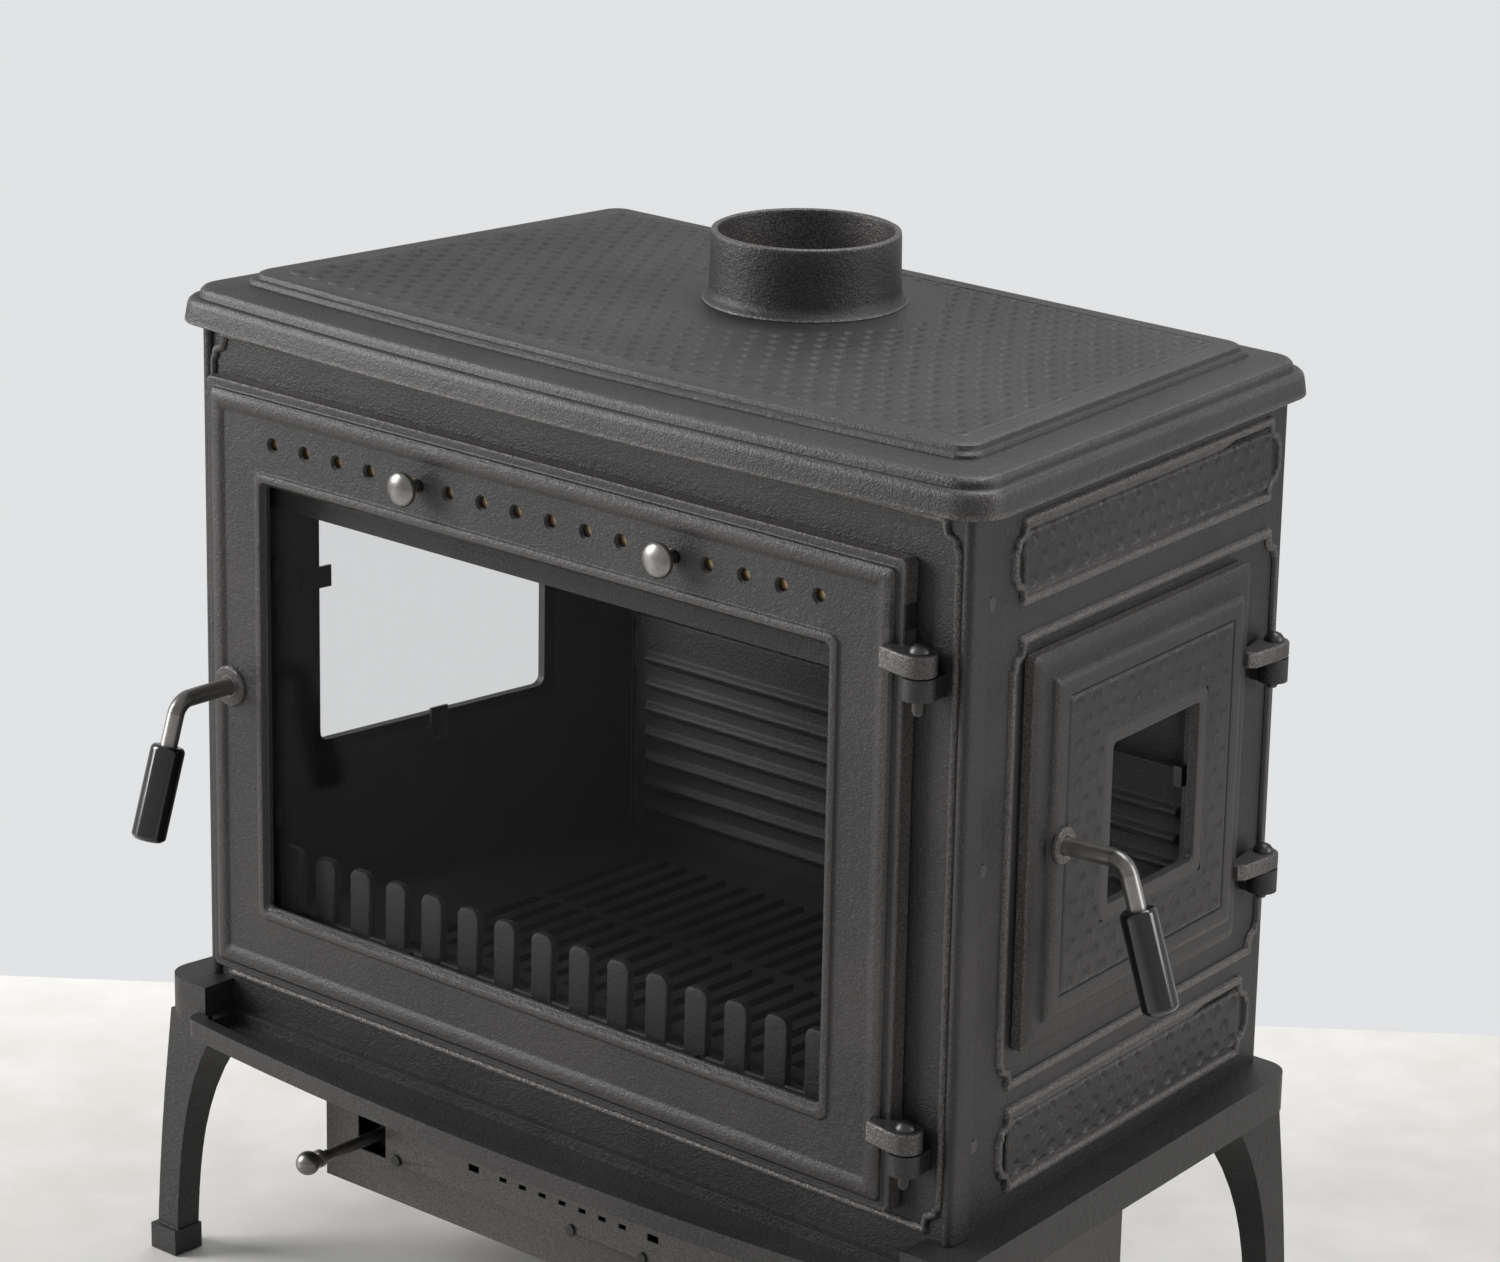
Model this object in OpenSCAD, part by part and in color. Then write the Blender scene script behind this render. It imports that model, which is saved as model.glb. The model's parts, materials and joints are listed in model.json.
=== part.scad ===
// Cast-iron wood burning stove with a glazed front door and a side loading door.
// The plan of the body is a trapezoid, wider at the front. Z is up, the front faces -Y.

/* [Body] */
// Width of the body across its front
body_front_w = 782; // [700:1:940]
// Width of the body across its back
body_back_w = 684; // [620:1:820]
// Depth of the body without lid or shelf
body_depth = 444; // [400:1:540]
// Height of the plates between base and lid
body_h = 555; // [540:1:680]
// Thickness of the cast plates
wall = 8; // [7:0.5:10]

/* [Base and legs] */
// Height of the legs under the base frame
leg_h = 216; // [150:1:260]
// Height of the base frame
base_h = 32; // [26:1:40]
// Overhang of the base frame past the body
base_over = 32; // [24:1:40]
// Width of a leg at its knee
knee_w = 58; // [50:1:64]
// Width of a leg at its ankle
ankle_w = 24; // [20:1:30]
// Width and height of the foot block
foot_w = 30; // [26:1:36]

/* [Lid] */
// Overhang of the lid past the side plates
lid_over_side = 24; // [16:1:30]
// Overhang of the lid corners past the front plate
lid_over_front = 19; // [14:1:26]
// Overhang of the lid past the back plate
lid_over_back = 6; // [4:1:12]
// Extra bow of the lid's front edge at its middle
lid_bow = 19; // [10:1:24]
// Height of the lid's edge
lid_edge_h = 20; // [16:1:26]
// Height of the step above the edge
lid_step_h = 8; // [6:1:12]
// Height of the raised panel above the step
panel_h = 12; // [10:1:16]
// Distance of the raised panel from the lid's edge
panel_inset = 43; // [36:1:52]

/* [Flue collar] */
// Outside diameter of the flue collar
collar_od = 150; // [120:1:180]
// Wall thickness of the flue collar
collar_wall = 6; // [4:0.5:8]
// Height of the flue collar above the lid panel
collar_h = 56; // [45:1:75]
// Distance of the flue behind the middle of the body
collar_back = 49; // [30:1:60]

/* [Front door] */
// Width of the front door
door_w = 725; // [650:1:740]
// Height of the front door
door_h = 500; // [490:1:520]
// Distance of the door's left edge from the body's left edge
door_left_gap = 11; // [8:1:16]
// Height of the door's lower edge above the body's lower edge
door_lift = 15; // [10:1:24]
// Thickness of both doors
door_t = 18; // [16:0.5:22]
// Gap between a closed door and its plate
door_gap = 1; // [0.6:0.1:1.5]
// Width of the front window
window_w = 588; // [500:1:600]
// Height of the front window
window_h = 355; // [300:1:365]
// Height of the front window above the door's lower edge
window_lift = 67; // [62:1:75]
// Diameter of the air holes in the top rail
air_hole_d = 10; // [8:0.5:12]
// Spacing of the air holes
air_pitch = 36; // [30:1:38]
// Spacing of the two air holes on either side of a knob
air_knob_gap = 86; // [80:1:96]
// Distance of the air holes below the door's upper edge
air_drop = 43; // [40:1:46]
// Travel of the air slide from open to shut
air_throw = 12; // [11:0.5:14]

/* [Side door] */
// Width of the side door
side_door_w = 308; // [270:1:312]
// Height of the side door
side_door_h = 305; // [280:1:340]
// Distance of the side door from the front corner
side_door_start = 76; // [72:1:80]
// Height of the side door above the body's lower edge
side_door_lift = 128; // [120:1:160]
// Width of the side door's window
side_window_w = 124; // [100:1:140]
// Height of the side door's window
side_window_h = 126; // [100:1:150]

/* [Left window] */
// Width of the window in the left plate
left_window_w = 241; // [200:1:260]
// Height of the window in the left plate
left_window_h = 225; // [180:1:235]
// Distance of that window from the front corner
left_window_start = 102; // [98:1:110]
// Height of that window above the body's lower edge
left_window_lift = 182; // [170:1:190]

/* [Handles] */
// Diameter of the handle rods
rod_d = 14; // [12:0.5:16]
// Diameter of the handle grips
grip_d = 28; // [24:1:32]
// Length of the handle grips
grip_l = 78; // [60:1:95]
// Distance from the door face to the bend of the rod
reach = 58; // [46:1:70]
// Length of bare rod between its bend and the grip
rod_tail = 25; // [20:1:30]
// Outward lean of the grips from the vertical, in degrees
grip_lean = 18; // [10:1:25]
// Length of the latch tongue on the front door
front_tongue = 17; // [16:0.5:18]
// Length of the latch tongue on the side door
side_tongue = 25; // [23:0.5:28]

/* [Hinges] */
// Diameter of the hinge pins
pin_d = 10; // [8:0.5:12]
// Outside radius of the hinge knuckles
knuckle_r = 13; // [11:0.5:13.5]

/* [Firebox] */
// Height of the grate's upper face above the body's lower edge
grate_lift = 50; // [46:1:60]
// Thickness of the grate
grate_t = 12; // [10:1:16]
// Width of the grate
grate_w = 510; // [420:1:540]
// Depth of the grate
grate_d = 300; // [240:1:320]
// Spacing of the log guard's fingers
finger_pitch = 40.5; // [36:0.5:42]
// Width of one finger
finger_w = 23; // [18:0.5:26]
// Height of the log guard's fingers above its solid part
finger_h = 53; // [40:1:60]
// Height of the fire back's upper edge above the body's lower edge
fire_back_top = 242; // [220:1:280]
// Height of the baffle's ledges above the body's lower edge
baffle_lift = 424; // [420:1:440]

/* [Ash box] */
// Width of the ash box
ash_w = 640; // [560:1:650]
// Distance of the ash box's front behind the middle of the body, forwards
ash_front = 165; // [150:1:175]
// Distance of the ash box's back behind the middle of the body
ash_back = 85; // [80:1:110]
// Height of the ash box above the floor
ash_z = 72; // [60:1:90]
// Thickness of the ash box's sheet metal
sheet = 2; // [1.5:0.5:3]

/* [Hidden] */
$fn = 64;
run_gap = 0.08;
fit_gap = 0.05;
clear_gap = 0.3;
half_front = body_front_w / 2;
half_back = body_back_w / 2;
y_front = -body_depth / 2;
y_back = body_depth / 2;
side_angle = atan((half_front - half_back) / body_depth);
body_z = leg_h + base_h;
top_z = body_z + body_h;
panel_z = top_z + lid_edge_h + lid_step_h + panel_h;
corner_r = 24;
// the doors and their hinges
seal_w = 8;
seal_inset = 5.5;
doorway_inset = 16;
door_x0 = -half_front + door_left_gap;
door_x1 = door_x0 + door_w;
door_mid = door_x0 + door_w / 2;
door_z0 = body_z + door_lift;
door_z1 = door_z0 + door_h;
door_back_y = y_front - door_gap;
door_face_y = door_back_y - door_t;
window_z0 = door_z0 + window_lift;
window_lap = 13;
glass_t = 4;
tape_t = 1.5;
rebate_t = 10;
air_z = door_z1 - air_drop;
slide_h = 24;
slide_t = 2.5;
hole_xs = [for (g = [-1, 0, 1], i = [0:g == 0 ? 5 : 3])
    door_mid + g * (air_knob_gap + 4 * air_pitch) + (i - (g == 0 ? 2.5 : 1.5)) * air_pitch];
knob_xs = [for (s = [-1, 1]) door_mid + s * (2.5 * air_pitch + air_knob_gap / 2)];
// how far the slide stands from open at rest
slide_rest = 0.75 * air_throw;
hinge_x = door_x1 + 18;
hinge_y = door_face_y + 1;
ear_h = 17;
knuckle_h = 16.5;
ear_gap = 0.5;
front_ear_zs = [door_z0 + 57, door_z1 - 80];
handle_x = door_x0 + 27;
handle_z = door_z0 + 247;
boss_r = 17;
boss_h = 6;
// the side door, in the side plate's own frame: X along the plate, Y up, Z outward
side_back_s = side_door_start + side_door_w;
side_z0 = body_z + side_door_lift;
side_hinge_s = side_back_s + 34;
side_hinge_out = door_gap + knuckle_r + clear_gap;
side_ear_h = 13;
side_knuckle_h = 19;
side_ear_zs = [side_z0 + 49, side_z0 + side_door_h - 83];
side_window_s = side_door_start + side_door_w / 2 - side_window_w / 2 + 8;
side_window_z = side_z0 + (side_door_h - side_window_h) / 2;
side_lap = 10;
side_handle_s = side_door_start + 32;
side_handle_z = side_z0 + 156;
left_z0 = body_z + left_window_lift;
left_lap = 8;
// the firebox
floor_z = body_z + grate_lift - grate_t;
floor_t = 8;
chute_wall = 12;
grate_gap = 2;
guard_y = y_front + wall + 9;
guard_t = 8;
guard_step = 24;
fire_back_y = y_back - wall - 22;
tie_out = -28;
tie_front_y = y_front + 26;
tie_back_y = y_back - 19;
// the ash box
drawer_gap = 0.3;
pan_w = 490;
air_rod_x = -ash_w / 2 + 54;
air_rod_z = ash_z + 48;
air_rod_r = 5;
ball_r = 10;
ball_y = y_front - 18;
ash_top = leg_h + base_h - 8;
base_back = 9;
foot_step = 8;
bend_r = 16;
// the whole stove is moved so that its bounding box is centred on the origin
handle_out = reach - bend_r + bend_r * cos(grip_lean) + (rod_tail + grip_l) * sin(grip_lean)
    + grip_d / 2 * cos(grip_lean);
left_reach = half_front + base_over + foot_step + (base_over + 1) * tan(side_angle);
right_reach = half_front + door_gap + door_t + handle_out - side_handle_s * sin(side_angle);
front_reach = handle_out - door_face_y;
back_reach = y_back + base_back + foot_step;
centre_x = (left_reach - right_reach) / 2;
centre_y = (front_reach - back_reach) / 2;

iron = "#4a4645";
dark_iron = "#2e2c2c";
steel = "#9a9a98";
rope = "#3a3a3c";

// ---- geometry helpers ----

// half width of the body at depth y, moved outward by out
function side_x(y, out = 0) =
    half_front - (y - y_front) * tan(side_angle) + out / cos(side_angle);

function unit(v) = v / norm(v);

// arc that rounds the corner p between its neighbours a and b
function fillet(a, p, b, r, n = 8) =
    let (u = unit(a - p), v = unit(b - p))
    let (half = acos(u * v) / 2, m = unit(u + v), c = p + m * (r / sin(half)))
    let (s = p + u * (r / tan(half)) - c, e = p + v * (r / tan(half)) - c)
    let (a0 = atan2(s.y, s.x), turn = atan2(e.y, e.x) - a0)
    let (t = turn > 180 ? turn - 360 : turn < -180 ? turn + 360 : turn)
    [for (i = [0:n]) c + r * [cos(a0 + t * i / n), sin(a0 + t * i / n)]];

// outline of a trapezoid plate in plan, with rounded corners and a bowed front
function bowed_outline(out, y0, y1, bow, r) =
    let (fl = [-side_x(y0, out), y0], fr = [side_x(y0, out), y0])
    let (br = [side_x(y1, out), y1], bl = [-side_x(y1, out), y1])
    let (n = 14, front = [for (i = [1:n - 1]) let (t = 2 * i / n - 1)
        [fr.x * t, y0 - bow * (1 - t * t)]])
    concat(fillet(bl, fl, front[0], r), front, fillet(front[n - 2], fr, br, r),
        fillet(fr, br, bl, r), fillet(br, bl, fl, r));

module placed() {
    translate([centre_x, centre_y, 0]) children();
}

// block between two corners
module block(a, b) {
    translate(a) cube(b - a);
}

// the right-hand shape, or its mirror image when side is negative
module mirrored(side) {
    if (side < 0) mirror([1, 0, 0]) children();
    else children();
}

// slab of the body's trapezoid plan from y0 to y1, moved outward by out
module plan_slab(out, y0, y1, z0, z1) {
    translate([0, 0, z0]) linear_extrude(z1 - z0) polygon([
        [-side_x(y0, out), y0], [side_x(y0, out), y0],
        [side_x(y1, out), y1], [-side_x(y1, out), y1]]);
}

// rectangle with round corners, its lower left corner at the origin
module rounded_rect(w, h, r) {
    translate([r, 0]) square([w - 2 * r, h]);
    translate([0, r]) square([w, h - 2 * r]);
    for (x = [r, w - r], y = [r, h - r]) translate([x, y]) circle(r = r);
}

// upright plate with round corners, facing -Y, from y0 back to y1
module upright(x, z, w, h, y0, y1, r = 6) {
    translate([x, y1, z]) rotate([90, 0, 0]) linear_extrude(y1 - y0) rounded_rect(w, h, r);
}

// places children in the right side plate's frame: X along it, Y up, Z outward
module on_right() {
    translate([half_front, y_front, 0]) rotate([0, 0, 90 + side_angle]) rotate([90, 0, 0])
        children();
}

module on_left() {
    mirror([1, 0, 0]) on_right() children();
}

// plate with round corners in a side plate's frame, from out0 to out1
module side_upright(s, z, w, h, out0, out1, r = 6) {
    translate([s, z, out0]) linear_extrude(out1 - out0) rounded_rect(w, h, r);
}

// frame between two round-cornered rectangles, border wide
module frame_2d(w, h, border, r) {
    difference() {
        rounded_rect(w, h, r);
        translate([border, border]) rounded_rect(w - 2 * border, h - 2 * border, max(r - border, 1));
    }
}

// pan head screw, its head standing on z = 0
module screw(head_r, head_h, shank_r, shank_l) {
    cylinder(r = head_r, h = head_h);
    translate([0, 0, -shank_l]) cylinder(r = shank_r, h = shank_l + head_h / 2);
}

// straight rod that bends down, along +Z from z0, then down -Y
module bent_rod(z0, r, tail) {
    lap = 0.8;
    translate([0, 0, z0]) cylinder(r = r, h = reach - bend_r - z0 + lap);
    translate([0, -bend_r, reach - bend_r]) rotate([90, 0, 90])
        rotate_extrude(angle = 90 - grip_lean) translate([bend_r, 0]) circle(r = r - 0.1);
    grip_place() translate([0, 0, -rod_tail - lap]) cylinder(r = r, h = rod_tail + tail + lap);
}

// frame at the upper end of the grip, +Z along the grip
module grip_place() {
    turn = 90 - grip_lean;
    translate([0, -bend_r * (1 - cos(turn)), reach - bend_r + bend_r * sin(turn)])
        rotate([turn, 0, 0]) translate([0, 0, rod_tail]) children();
}

module handle_grip() {
    grip_place() difference() {
        union() {
            cylinder(r1 = grip_d / 2 - 2, r2 = grip_d / 2, h = 3);
            translate([0, 0, 3]) cylinder(r = grip_d / 2, h = grip_l - 6);
            translate([0, 0, grip_l - 3]) cylinder(r1 = grip_d / 2, r2 = grip_d / 2 - 3, h = 3);
        }
        translate([0, 0, -1]) cylinder(d = rod_d + 2 * fit_gap, h = grip_l - 12);
    }
}

// latch tongue with its bore on the local Z axis, hanging down -Y
module tongue(len, z0, z1) {
    translate([0, 0, z0]) difference() {
        union() {
            cylinder(r = 10, h = z1 - z0);
            translate([-6, -len, 0]) cube([12, len, z1 - z0]);
        }
        translate([0, 0, -1]) cylinder(d = rod_d + 2 * fit_gap, h = z1 - z0 + 2);
    }
}

module at_front_handle() {
    translate([handle_x, door_face_y, handle_z]) rotate([90, 0, 0]) children();
}

module at_side_handle() {
    on_right() translate([side_handle_s, side_handle_z, door_gap + door_t]) children();
}

// ---- lid and flue ----

module lid() {
    y0 = y_front - lid_over_front;
    y1 = y_back + lid_over_back;
    color(iron) placed() difference() {
        union() {
            difference() {
                lid_solid(y0, y1);
                plan_slab(lid_over_side - panel_inset - 8, y0 + panel_inset + 8,
                    y1 - panel_inset - 8, top_z + 1, panel_z - wall);
                translate([0, collar_back, top_z]) cylinder(r = collar_in, h = 60);
            }
            collar_tabs(panel_z - wall + 1, wall - 2);
        }
        difference() {
            plan_slab(-wall - 8, y_front + wall + 8, y_back - wall - 8, top_z - 1,
                top_z + lid_edge_h - 1);
            tie_places() translate([0, 0, top_z]) cylinder(r = 12, h = lid_edge_h);
        }
        tie_places() translate([0, 0, top_z - 1]) cylinder(r = 4 + fit_gap, h = 17);
        collar_bolt_places() translate([0, 0, -20]) cylinder(r = 4 + fit_gap, h = 40);
    }
}

module lid_solid(y0, y1) {
    translate([0, 0, top_z]) linear_extrude(lid_edge_h)
        polygon(bowed_outline(lid_over_side, y0, y1, lid_bow, 30));
    translate([0, 0, top_z + lid_edge_h]) linear_extrude(lid_step_h)
        polygon(bowed_outline(lid_over_side - 9, y0 + 9, y1 - 9, lid_bow - 1, 24));
    translate([0, 0, panel_z - panel_h]) linear_extrude(panel_h)
        polygon(bowed_outline(lid_over_side - panel_inset, y0 + panel_inset,
            y1 - panel_inset, lid_bow * 0.7, 20));
}

collar_in = collar_od / 2 - collar_wall;

// three tabs inside the flue way, h high from z up
module collar_tabs(z, h) {
    for (a = [30, 150, 270]) translate([0, collar_back, z]) rotate([0, 0, a])
        translate([collar_in - 18, -10, 0]) cube([20, 20, h]);
}

module collar_bolt_places() {
    for (a = [30, 150, 270])
        translate([0, collar_back, panel_z]) rotate([0, 0, a])
            translate([collar_in - 9, 0, 0]) children();
}

module flue_collar() {
    flare = 6;
    color(iron) placed() difference() {
        union() {
            translate([0, collar_back, panel_z]) rotate_extrude($fn = 96) polygon([
                [collar_in, 0], [collar_od / 2 + flare, 0], [collar_od / 2 + flare, 1.5],
                [collar_od / 2, 7], [collar_od / 2, collar_h], [collar_in, collar_h]]);
            collar_tabs(panel_z, wall);
        }
        collar_bolt_places() translate([0, 0, -1]) cylinder(r = 4 + fit_gap, h = wall + 2);
    }
}

module collar_bolts() {
    color(steel) placed() collar_bolt_places() {
        translate([0, 0, wall]) cylinder(r = 7, h = 5, $fn = 6);
        translate([0, 0, -wall]) cylinder(r = 4, h = 2 * wall + 1);
    }
}

// ---- plates of the body ----

// knuckles that carry the front door's pins
module front_knuckles() {
    for (z = front_ear_zs) {
        translate([hinge_x, hinge_y, z - ear_gap - knuckle_h]) cylinder(r = knuckle_r, h = knuckle_h);
        block([hinge_x - 11, hinge_y, z - ear_gap - knuckle_h], [hinge_x + 11, y_front, z - ear_gap]);
    }
}

module front_plate() {
    flange = 30;
    color(iron) placed() difference() {
        union() {
            plan_slab(0, y_front, y_front + wall, body_z, top_z);
            for (side = [-1, 1]) mirrored(side) translate([0, 0, body_z])
                linear_extrude(body_h) polygon([
                    [side_x(y_front + wall, -wall), y_front + wall],
                    [side_x(y_front + wall + flange, -wall), y_front + wall + flange],
                    [side_x(y_front + wall + flange, -2 * wall), y_front + wall + flange],
                    [side_x(y_front + wall, -2 * wall), y_front + wall]]);
            front_knuckles();
        }
        upright(door_x0 + doorway_inset, door_z0 + doorway_inset, door_w - 2 * doorway_inset,
            door_h - 2 * doorway_inset, y_front - 1, y_front + wall + 1, 8);
        for (z = front_ear_zs)
            translate([hinge_x, hinge_y, z - knuckle_h - 2]) cylinder(d = pin_d + 2 * run_gap, h = 20);
        plate_screw_places() translate([0, 0, -40]) cylinder(r = 3 + fit_gap, h = 60);
    }
}

// one side plate, with the ledge that carries the baffle
module side_plate() {
    y0 = y_front + wall;
    y1 = y_back - wall;
    translate([0, 0, body_z]) linear_extrude(body_h) polygon([
        [side_x(y0), y0], [side_x(y1), y1], [side_x(y1, -wall), y1], [side_x(y0, -wall), y0]]);
    translate([0, 0, body_z + baffle_lift]) linear_extrude(8) polygon([
        [side_x(-115, 1 - wall), -115], [side_x(190, 1 - wall), 190],
        [side_x(190, -wall - 14), 190], [side_x(-115, -wall - 14), -115]]);
}

module plate_screw_places() {
    for (z = [body_z + 70, body_z + 284, body_z + 484]) {
        on_right() translate([25, z, 0]) children();
        on_left() translate([25, z, 0]) children();
    }
}

module plate_screws() {
    color(steel) placed() plate_screw_places() screw(5, 3.5, 3, 2 * wall);
}

module left_plate() {
    color(iron) placed() difference() {
        mirror([1, 0, 0]) side_plate();
        on_left() side_upright(left_window_start, left_z0, left_window_w, left_window_h,
            -wall - 1, 1, 8);
        plate_screw_places() translate([0, 0, -40]) cylinder(r = 3.2, h = 60);
    }
}

module side_knuckles() {
    for (z = side_ear_zs) on_right() {
        translate([side_hinge_s, z - ear_gap, side_hinge_out]) rotate([90, 0, 0])
            cylinder(r = knuckle_r - 1, h = side_knuckle_h);
        block([side_hinge_s - 9, z - ear_gap - side_knuckle_h, -1],
            [side_hinge_s + 9, z - ear_gap, side_hinge_out]);
    }
}

module right_plate() {
    color(iron) placed() difference() {
        union() {
            side_plate();
            side_knuckles();
        }
        on_right() side_upright(side_door_start + doorway_inset, side_z0 + doorway_inset,
            side_door_w - 2 * doorway_inset, side_door_h - 2 * doorway_inset, -wall - 1, 0.5, 8);
        for (z = side_ear_zs) on_right()
            translate([side_hinge_s, z + 1, side_hinge_out]) rotate([90, 0, 0])
                cylinder(d = pin_d + 2 * run_gap, h = 30);
        plate_screw_places() translate([0, 0, -40]) cylinder(r = 3.2, h = 60);
    }
}

module back_plate() {
    color(iron) placed() plan_slab(0, y_back - wall, y_back, body_z, top_z);
}

// ---- firebox ----

module tie_places() {
    for (side = [-1, 1], y = [tie_front_y, tie_back_y])
        translate([side * side_x(y, tie_out), y, 0]) children();
}

module bottom_plate() {
    y1 = ash_back - 7;
    color(iron) placed() difference() {
        plan_slab(-wall, y_front + wall, y_back - wall, body_z, body_z + wall);
        for (side = [-1, 1]) mirrored(side)
            block([side_x(y_front + wall + 31, -2 * wall) - 3, y_front, body_z - 1],
                [half_front, y_front + wall + 31, body_z + wall + 1]);
        block([-grate_w / 2 + chute_wall, -grate_d / 2 + chute_wall, body_z - 1],
            [grate_w / 2 - chute_wall, y1, body_z + wall + 1]);
        tie_places() translate([0, 0, body_z - 1]) cylinder(r = 4.3, h = wall + 2);
    }
}

module firebox_floor() {
    gw = grate_w / 2 + grate_gap;
    gd = grate_d / 2 + grate_gap;
    y1 = tie_back_y - 7;
    color(dark_iron) placed() difference() {
        union() {
            plan_slab(-2 * wall - 1.5, y_front + wall + 2, y1, floor_z, floor_z + floor_t);
            block([-gw, -gd, body_z + wall], [gw, gd, floor_z + 1]);
        }
        block([-gw, -gd, floor_z], [gw, gd, floor_z + floor_t + 1]);
        block([-gw + chute_wall + 2, -gd + chute_wall + 2, body_z],
            [gw - chute_wall - 2, gd - chute_wall - 2, floor_z + 1]);
        tie_places() translate([0, 0, floor_z - 1]) cylinder(r = 6, h = floor_t + 2);
    }
}

module grate() {
    slot_w = 10;
    bar_pitch = 22;
    border = 16;
    n = floor((grate_w - 2 * border - slot_w) / bar_pitch);
    color(dark_iron) placed() translate([0, 0, floor_z]) linear_extrude(grate_t) difference() {
        translate([-grate_w / 2, -grate_d / 2]) rounded_rect(grate_w, grate_d, 18);
        for (i = [0:n], half = [-1, 1]) translate([(i - n / 2) * bar_pitch - slot_w / 2,
            half > 0 ? 5 : -grate_d / 2 + border]) square([slot_w, grate_d / 2 - border - 5]);
    }
}

module log_guard() {
    n = floor((window_w + 60) / finger_pitch) - 1;
    x0 = door_mid - (n * finger_pitch + finger_w) / 2;
    z0 = floor_z + floor_t;
    color(dark_iron) placed() {
        block([x0, guard_y, z0], [x0 + n * finger_pitch + finger_w, guard_y + guard_t,
            z0 + guard_step]);
        for (i = [0:n]) translate([x0 + i * finger_pitch, guard_y + guard_t, z0 + guard_step - 1])
            rotate([90, 0, 0]) linear_extrude(guard_t) {
                square([finger_w, finger_h - finger_w / 3]);
                translate([0, finger_h - finger_w / 2 + 1 - 6]) rounded_rect(finger_w, 17.5, 8);
            }
    }
}

module fire_back() {
    half = side_x(fire_back_y, -wall) - 38;
    z0 = floor_z + floor_t;
    rib_pitch = 22.6;
    n = floor((body_z + fire_back_top - z0 - 20) / rib_pitch);
    color(dark_iron) placed() {
        block([-half, fire_back_y - 8, z0], [half, fire_back_y, body_z + fire_back_top]);
        for (i = [0:n - 1]) translate([-half + 14, fire_back_y - 8, z0 + 24 + i * rib_pitch])
            rotate([90, 0, 90]) linear_extrude(2 * half - 28)
                polygon([[1, -6], [-5, -2], [-5, 2], [1, 6]]);
    }
}

module baffle() {
    z = body_z + baffle_lift + 8;
    color(dark_iron) placed() plan_slab(-wall - 1.5, -110, 190, z, z + 9);
}

module air_deflector() {
    y0 = y_front + wall;
    x0 = door_x0 + doorway_inset + 14;
    x1 = door_x1 - doorway_inset - 14;
    z1 = door_z1 - doorway_inset + 6;
    color(dark_iron) placed() {
        block([x0, y0 + 9, door_z1 - 107], [x1, y0 + 12, z1]);
        block([x0, y0, z1 - 3], [x1, y0 + 10, z1]);
    }
}

module tie_rods() {
    color(steel) placed() tie_places() {
        translate([0, 0, lug_z - 6]) cylinder(r = 8, h = 6, $fn = 6);
        translate([0, 0, lug_z - 5]) cylinder(r = 4, h = top_z + 14 - lug_z + 5);
    }
}

// ---- base, shelf and legs ----

notch_half = half_front - 19;
web = 8;
skirt = 10;
lug_z = leg_h + base_h - web - 10;

module base_frame() {
    y0 = y_front - base_over;
    y1 = y_back + base_back;
    color(iron) placed() difference() {
        union() {
            difference() {
                translate([0, 0, leg_h]) linear_extrude(base_h)
                    polygon(bowed_outline(base_over, y0, y1, 0, corner_r));
                plan_slab(base_over - skirt, y0 + skirt, y1 - skirt, leg_h - 1, body_z - web);
                plan_slab(-62, y_front + 50, y_back - 50, leg_h, body_z + 1);
                block([-notch_half, y0 - 1, leg_h - 1], [notch_half, y_front, body_z + 1]);
            }
            block([-notch_half - 1, y_front, leg_h], [notch_half + 1, y_front + 10, body_z]);
            for (side = [-1, 1]) mirrored(side)
                block([notch_half, y0 + 3, leg_h], [notch_half + 8, y_front + 10, body_z]);
        }
        tie_places() translate([0, 0, leg_h]) cylinder(r = 4.3, h = base_h + 1);
        shelf_bolt_places() translate([0, 0, -1]) cylinder(r = 3 + fit_gap, h = 12);
        ash_screw_places() cylinder(r = 3 + fit_gap, h = 6);
    }
}

shelf_front = y_front - 46;
shelf_half = half_front - 10;

module ash_shelf() {
    top = leg_h + 8;
    bow = 22;
    color(iron) placed() difference() {
        translate([0, 0, top - 16]) linear_extrude(16) difference() {
            polygon(concat([[shelf_half, y_front - base_over - 0.5]],
                [[notch_half - 0.5, y_front - base_over - 0.5], [notch_half - 0.5, y_front],
                [-notch_half + 0.5, y_front], [-notch_half + 0.5, y_front - base_over - 0.5],
                [-shelf_half, y_front - base_over - 0.5]],
                shelf_arc(0, bow)));
        }
        translate([0, 0, top - 9]) linear_extrude(10)
            polygon(concat([[notch_half - 12, y_front - 8], [-notch_half + 12, y_front - 8]],
                [[-notch_half + 12, y_front - base_over - 2]], shelf_arc(11, bow),
                [[notch_half - 12, y_front - base_over - 2]]));
        shelf_bolt_places() cylinder(r = 3 + fit_gap, h = 17);
    }
}

// bowed front of the shelf from left to right, set back by inset, with round ends
function shelf_arc(inset, bow) =
    let (x = shelf_half - inset, y = shelf_front + inset, r = 12 - inset / 4)
    let (n = 14, front = [for (i = [1:n - 1]) let (t = 2 * i / n - 1)
        [x * t, y - bow * (1 - t * t)]])
    concat(fillet([-x, y + 40], [-x, y], front[0], r), front,
        fillet(front[n - 2], [x, y], [x, y + 40], r));

// outline of a leg seen from the side, its outer edge towards -X, inset by the curve
function leg_width(z) = z < foot_w * 0.75 ? foot_w : ankle_w + (knee_w - ankle_w) * pow(z / leg_h, 4);
function leg_outer(z) = z < foot_w * 0.75 ? -foot_step : -4 + 10 * pow(z / leg_h, 1.5);
leg_zs = concat([0, foot_w * 0.74, foot_w * 0.76], [for (i = [2:12]) leg_h * i / 12]);

module leg_profile() {
    polygon(concat([for (z = leg_zs) [leg_outer(z), z]],
        [for (i = [len(leg_zs) - 1:-1:0]) [leg_outer(leg_zs[i]) + leg_width(leg_zs[i]), leg_zs[i]]]));
}

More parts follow.
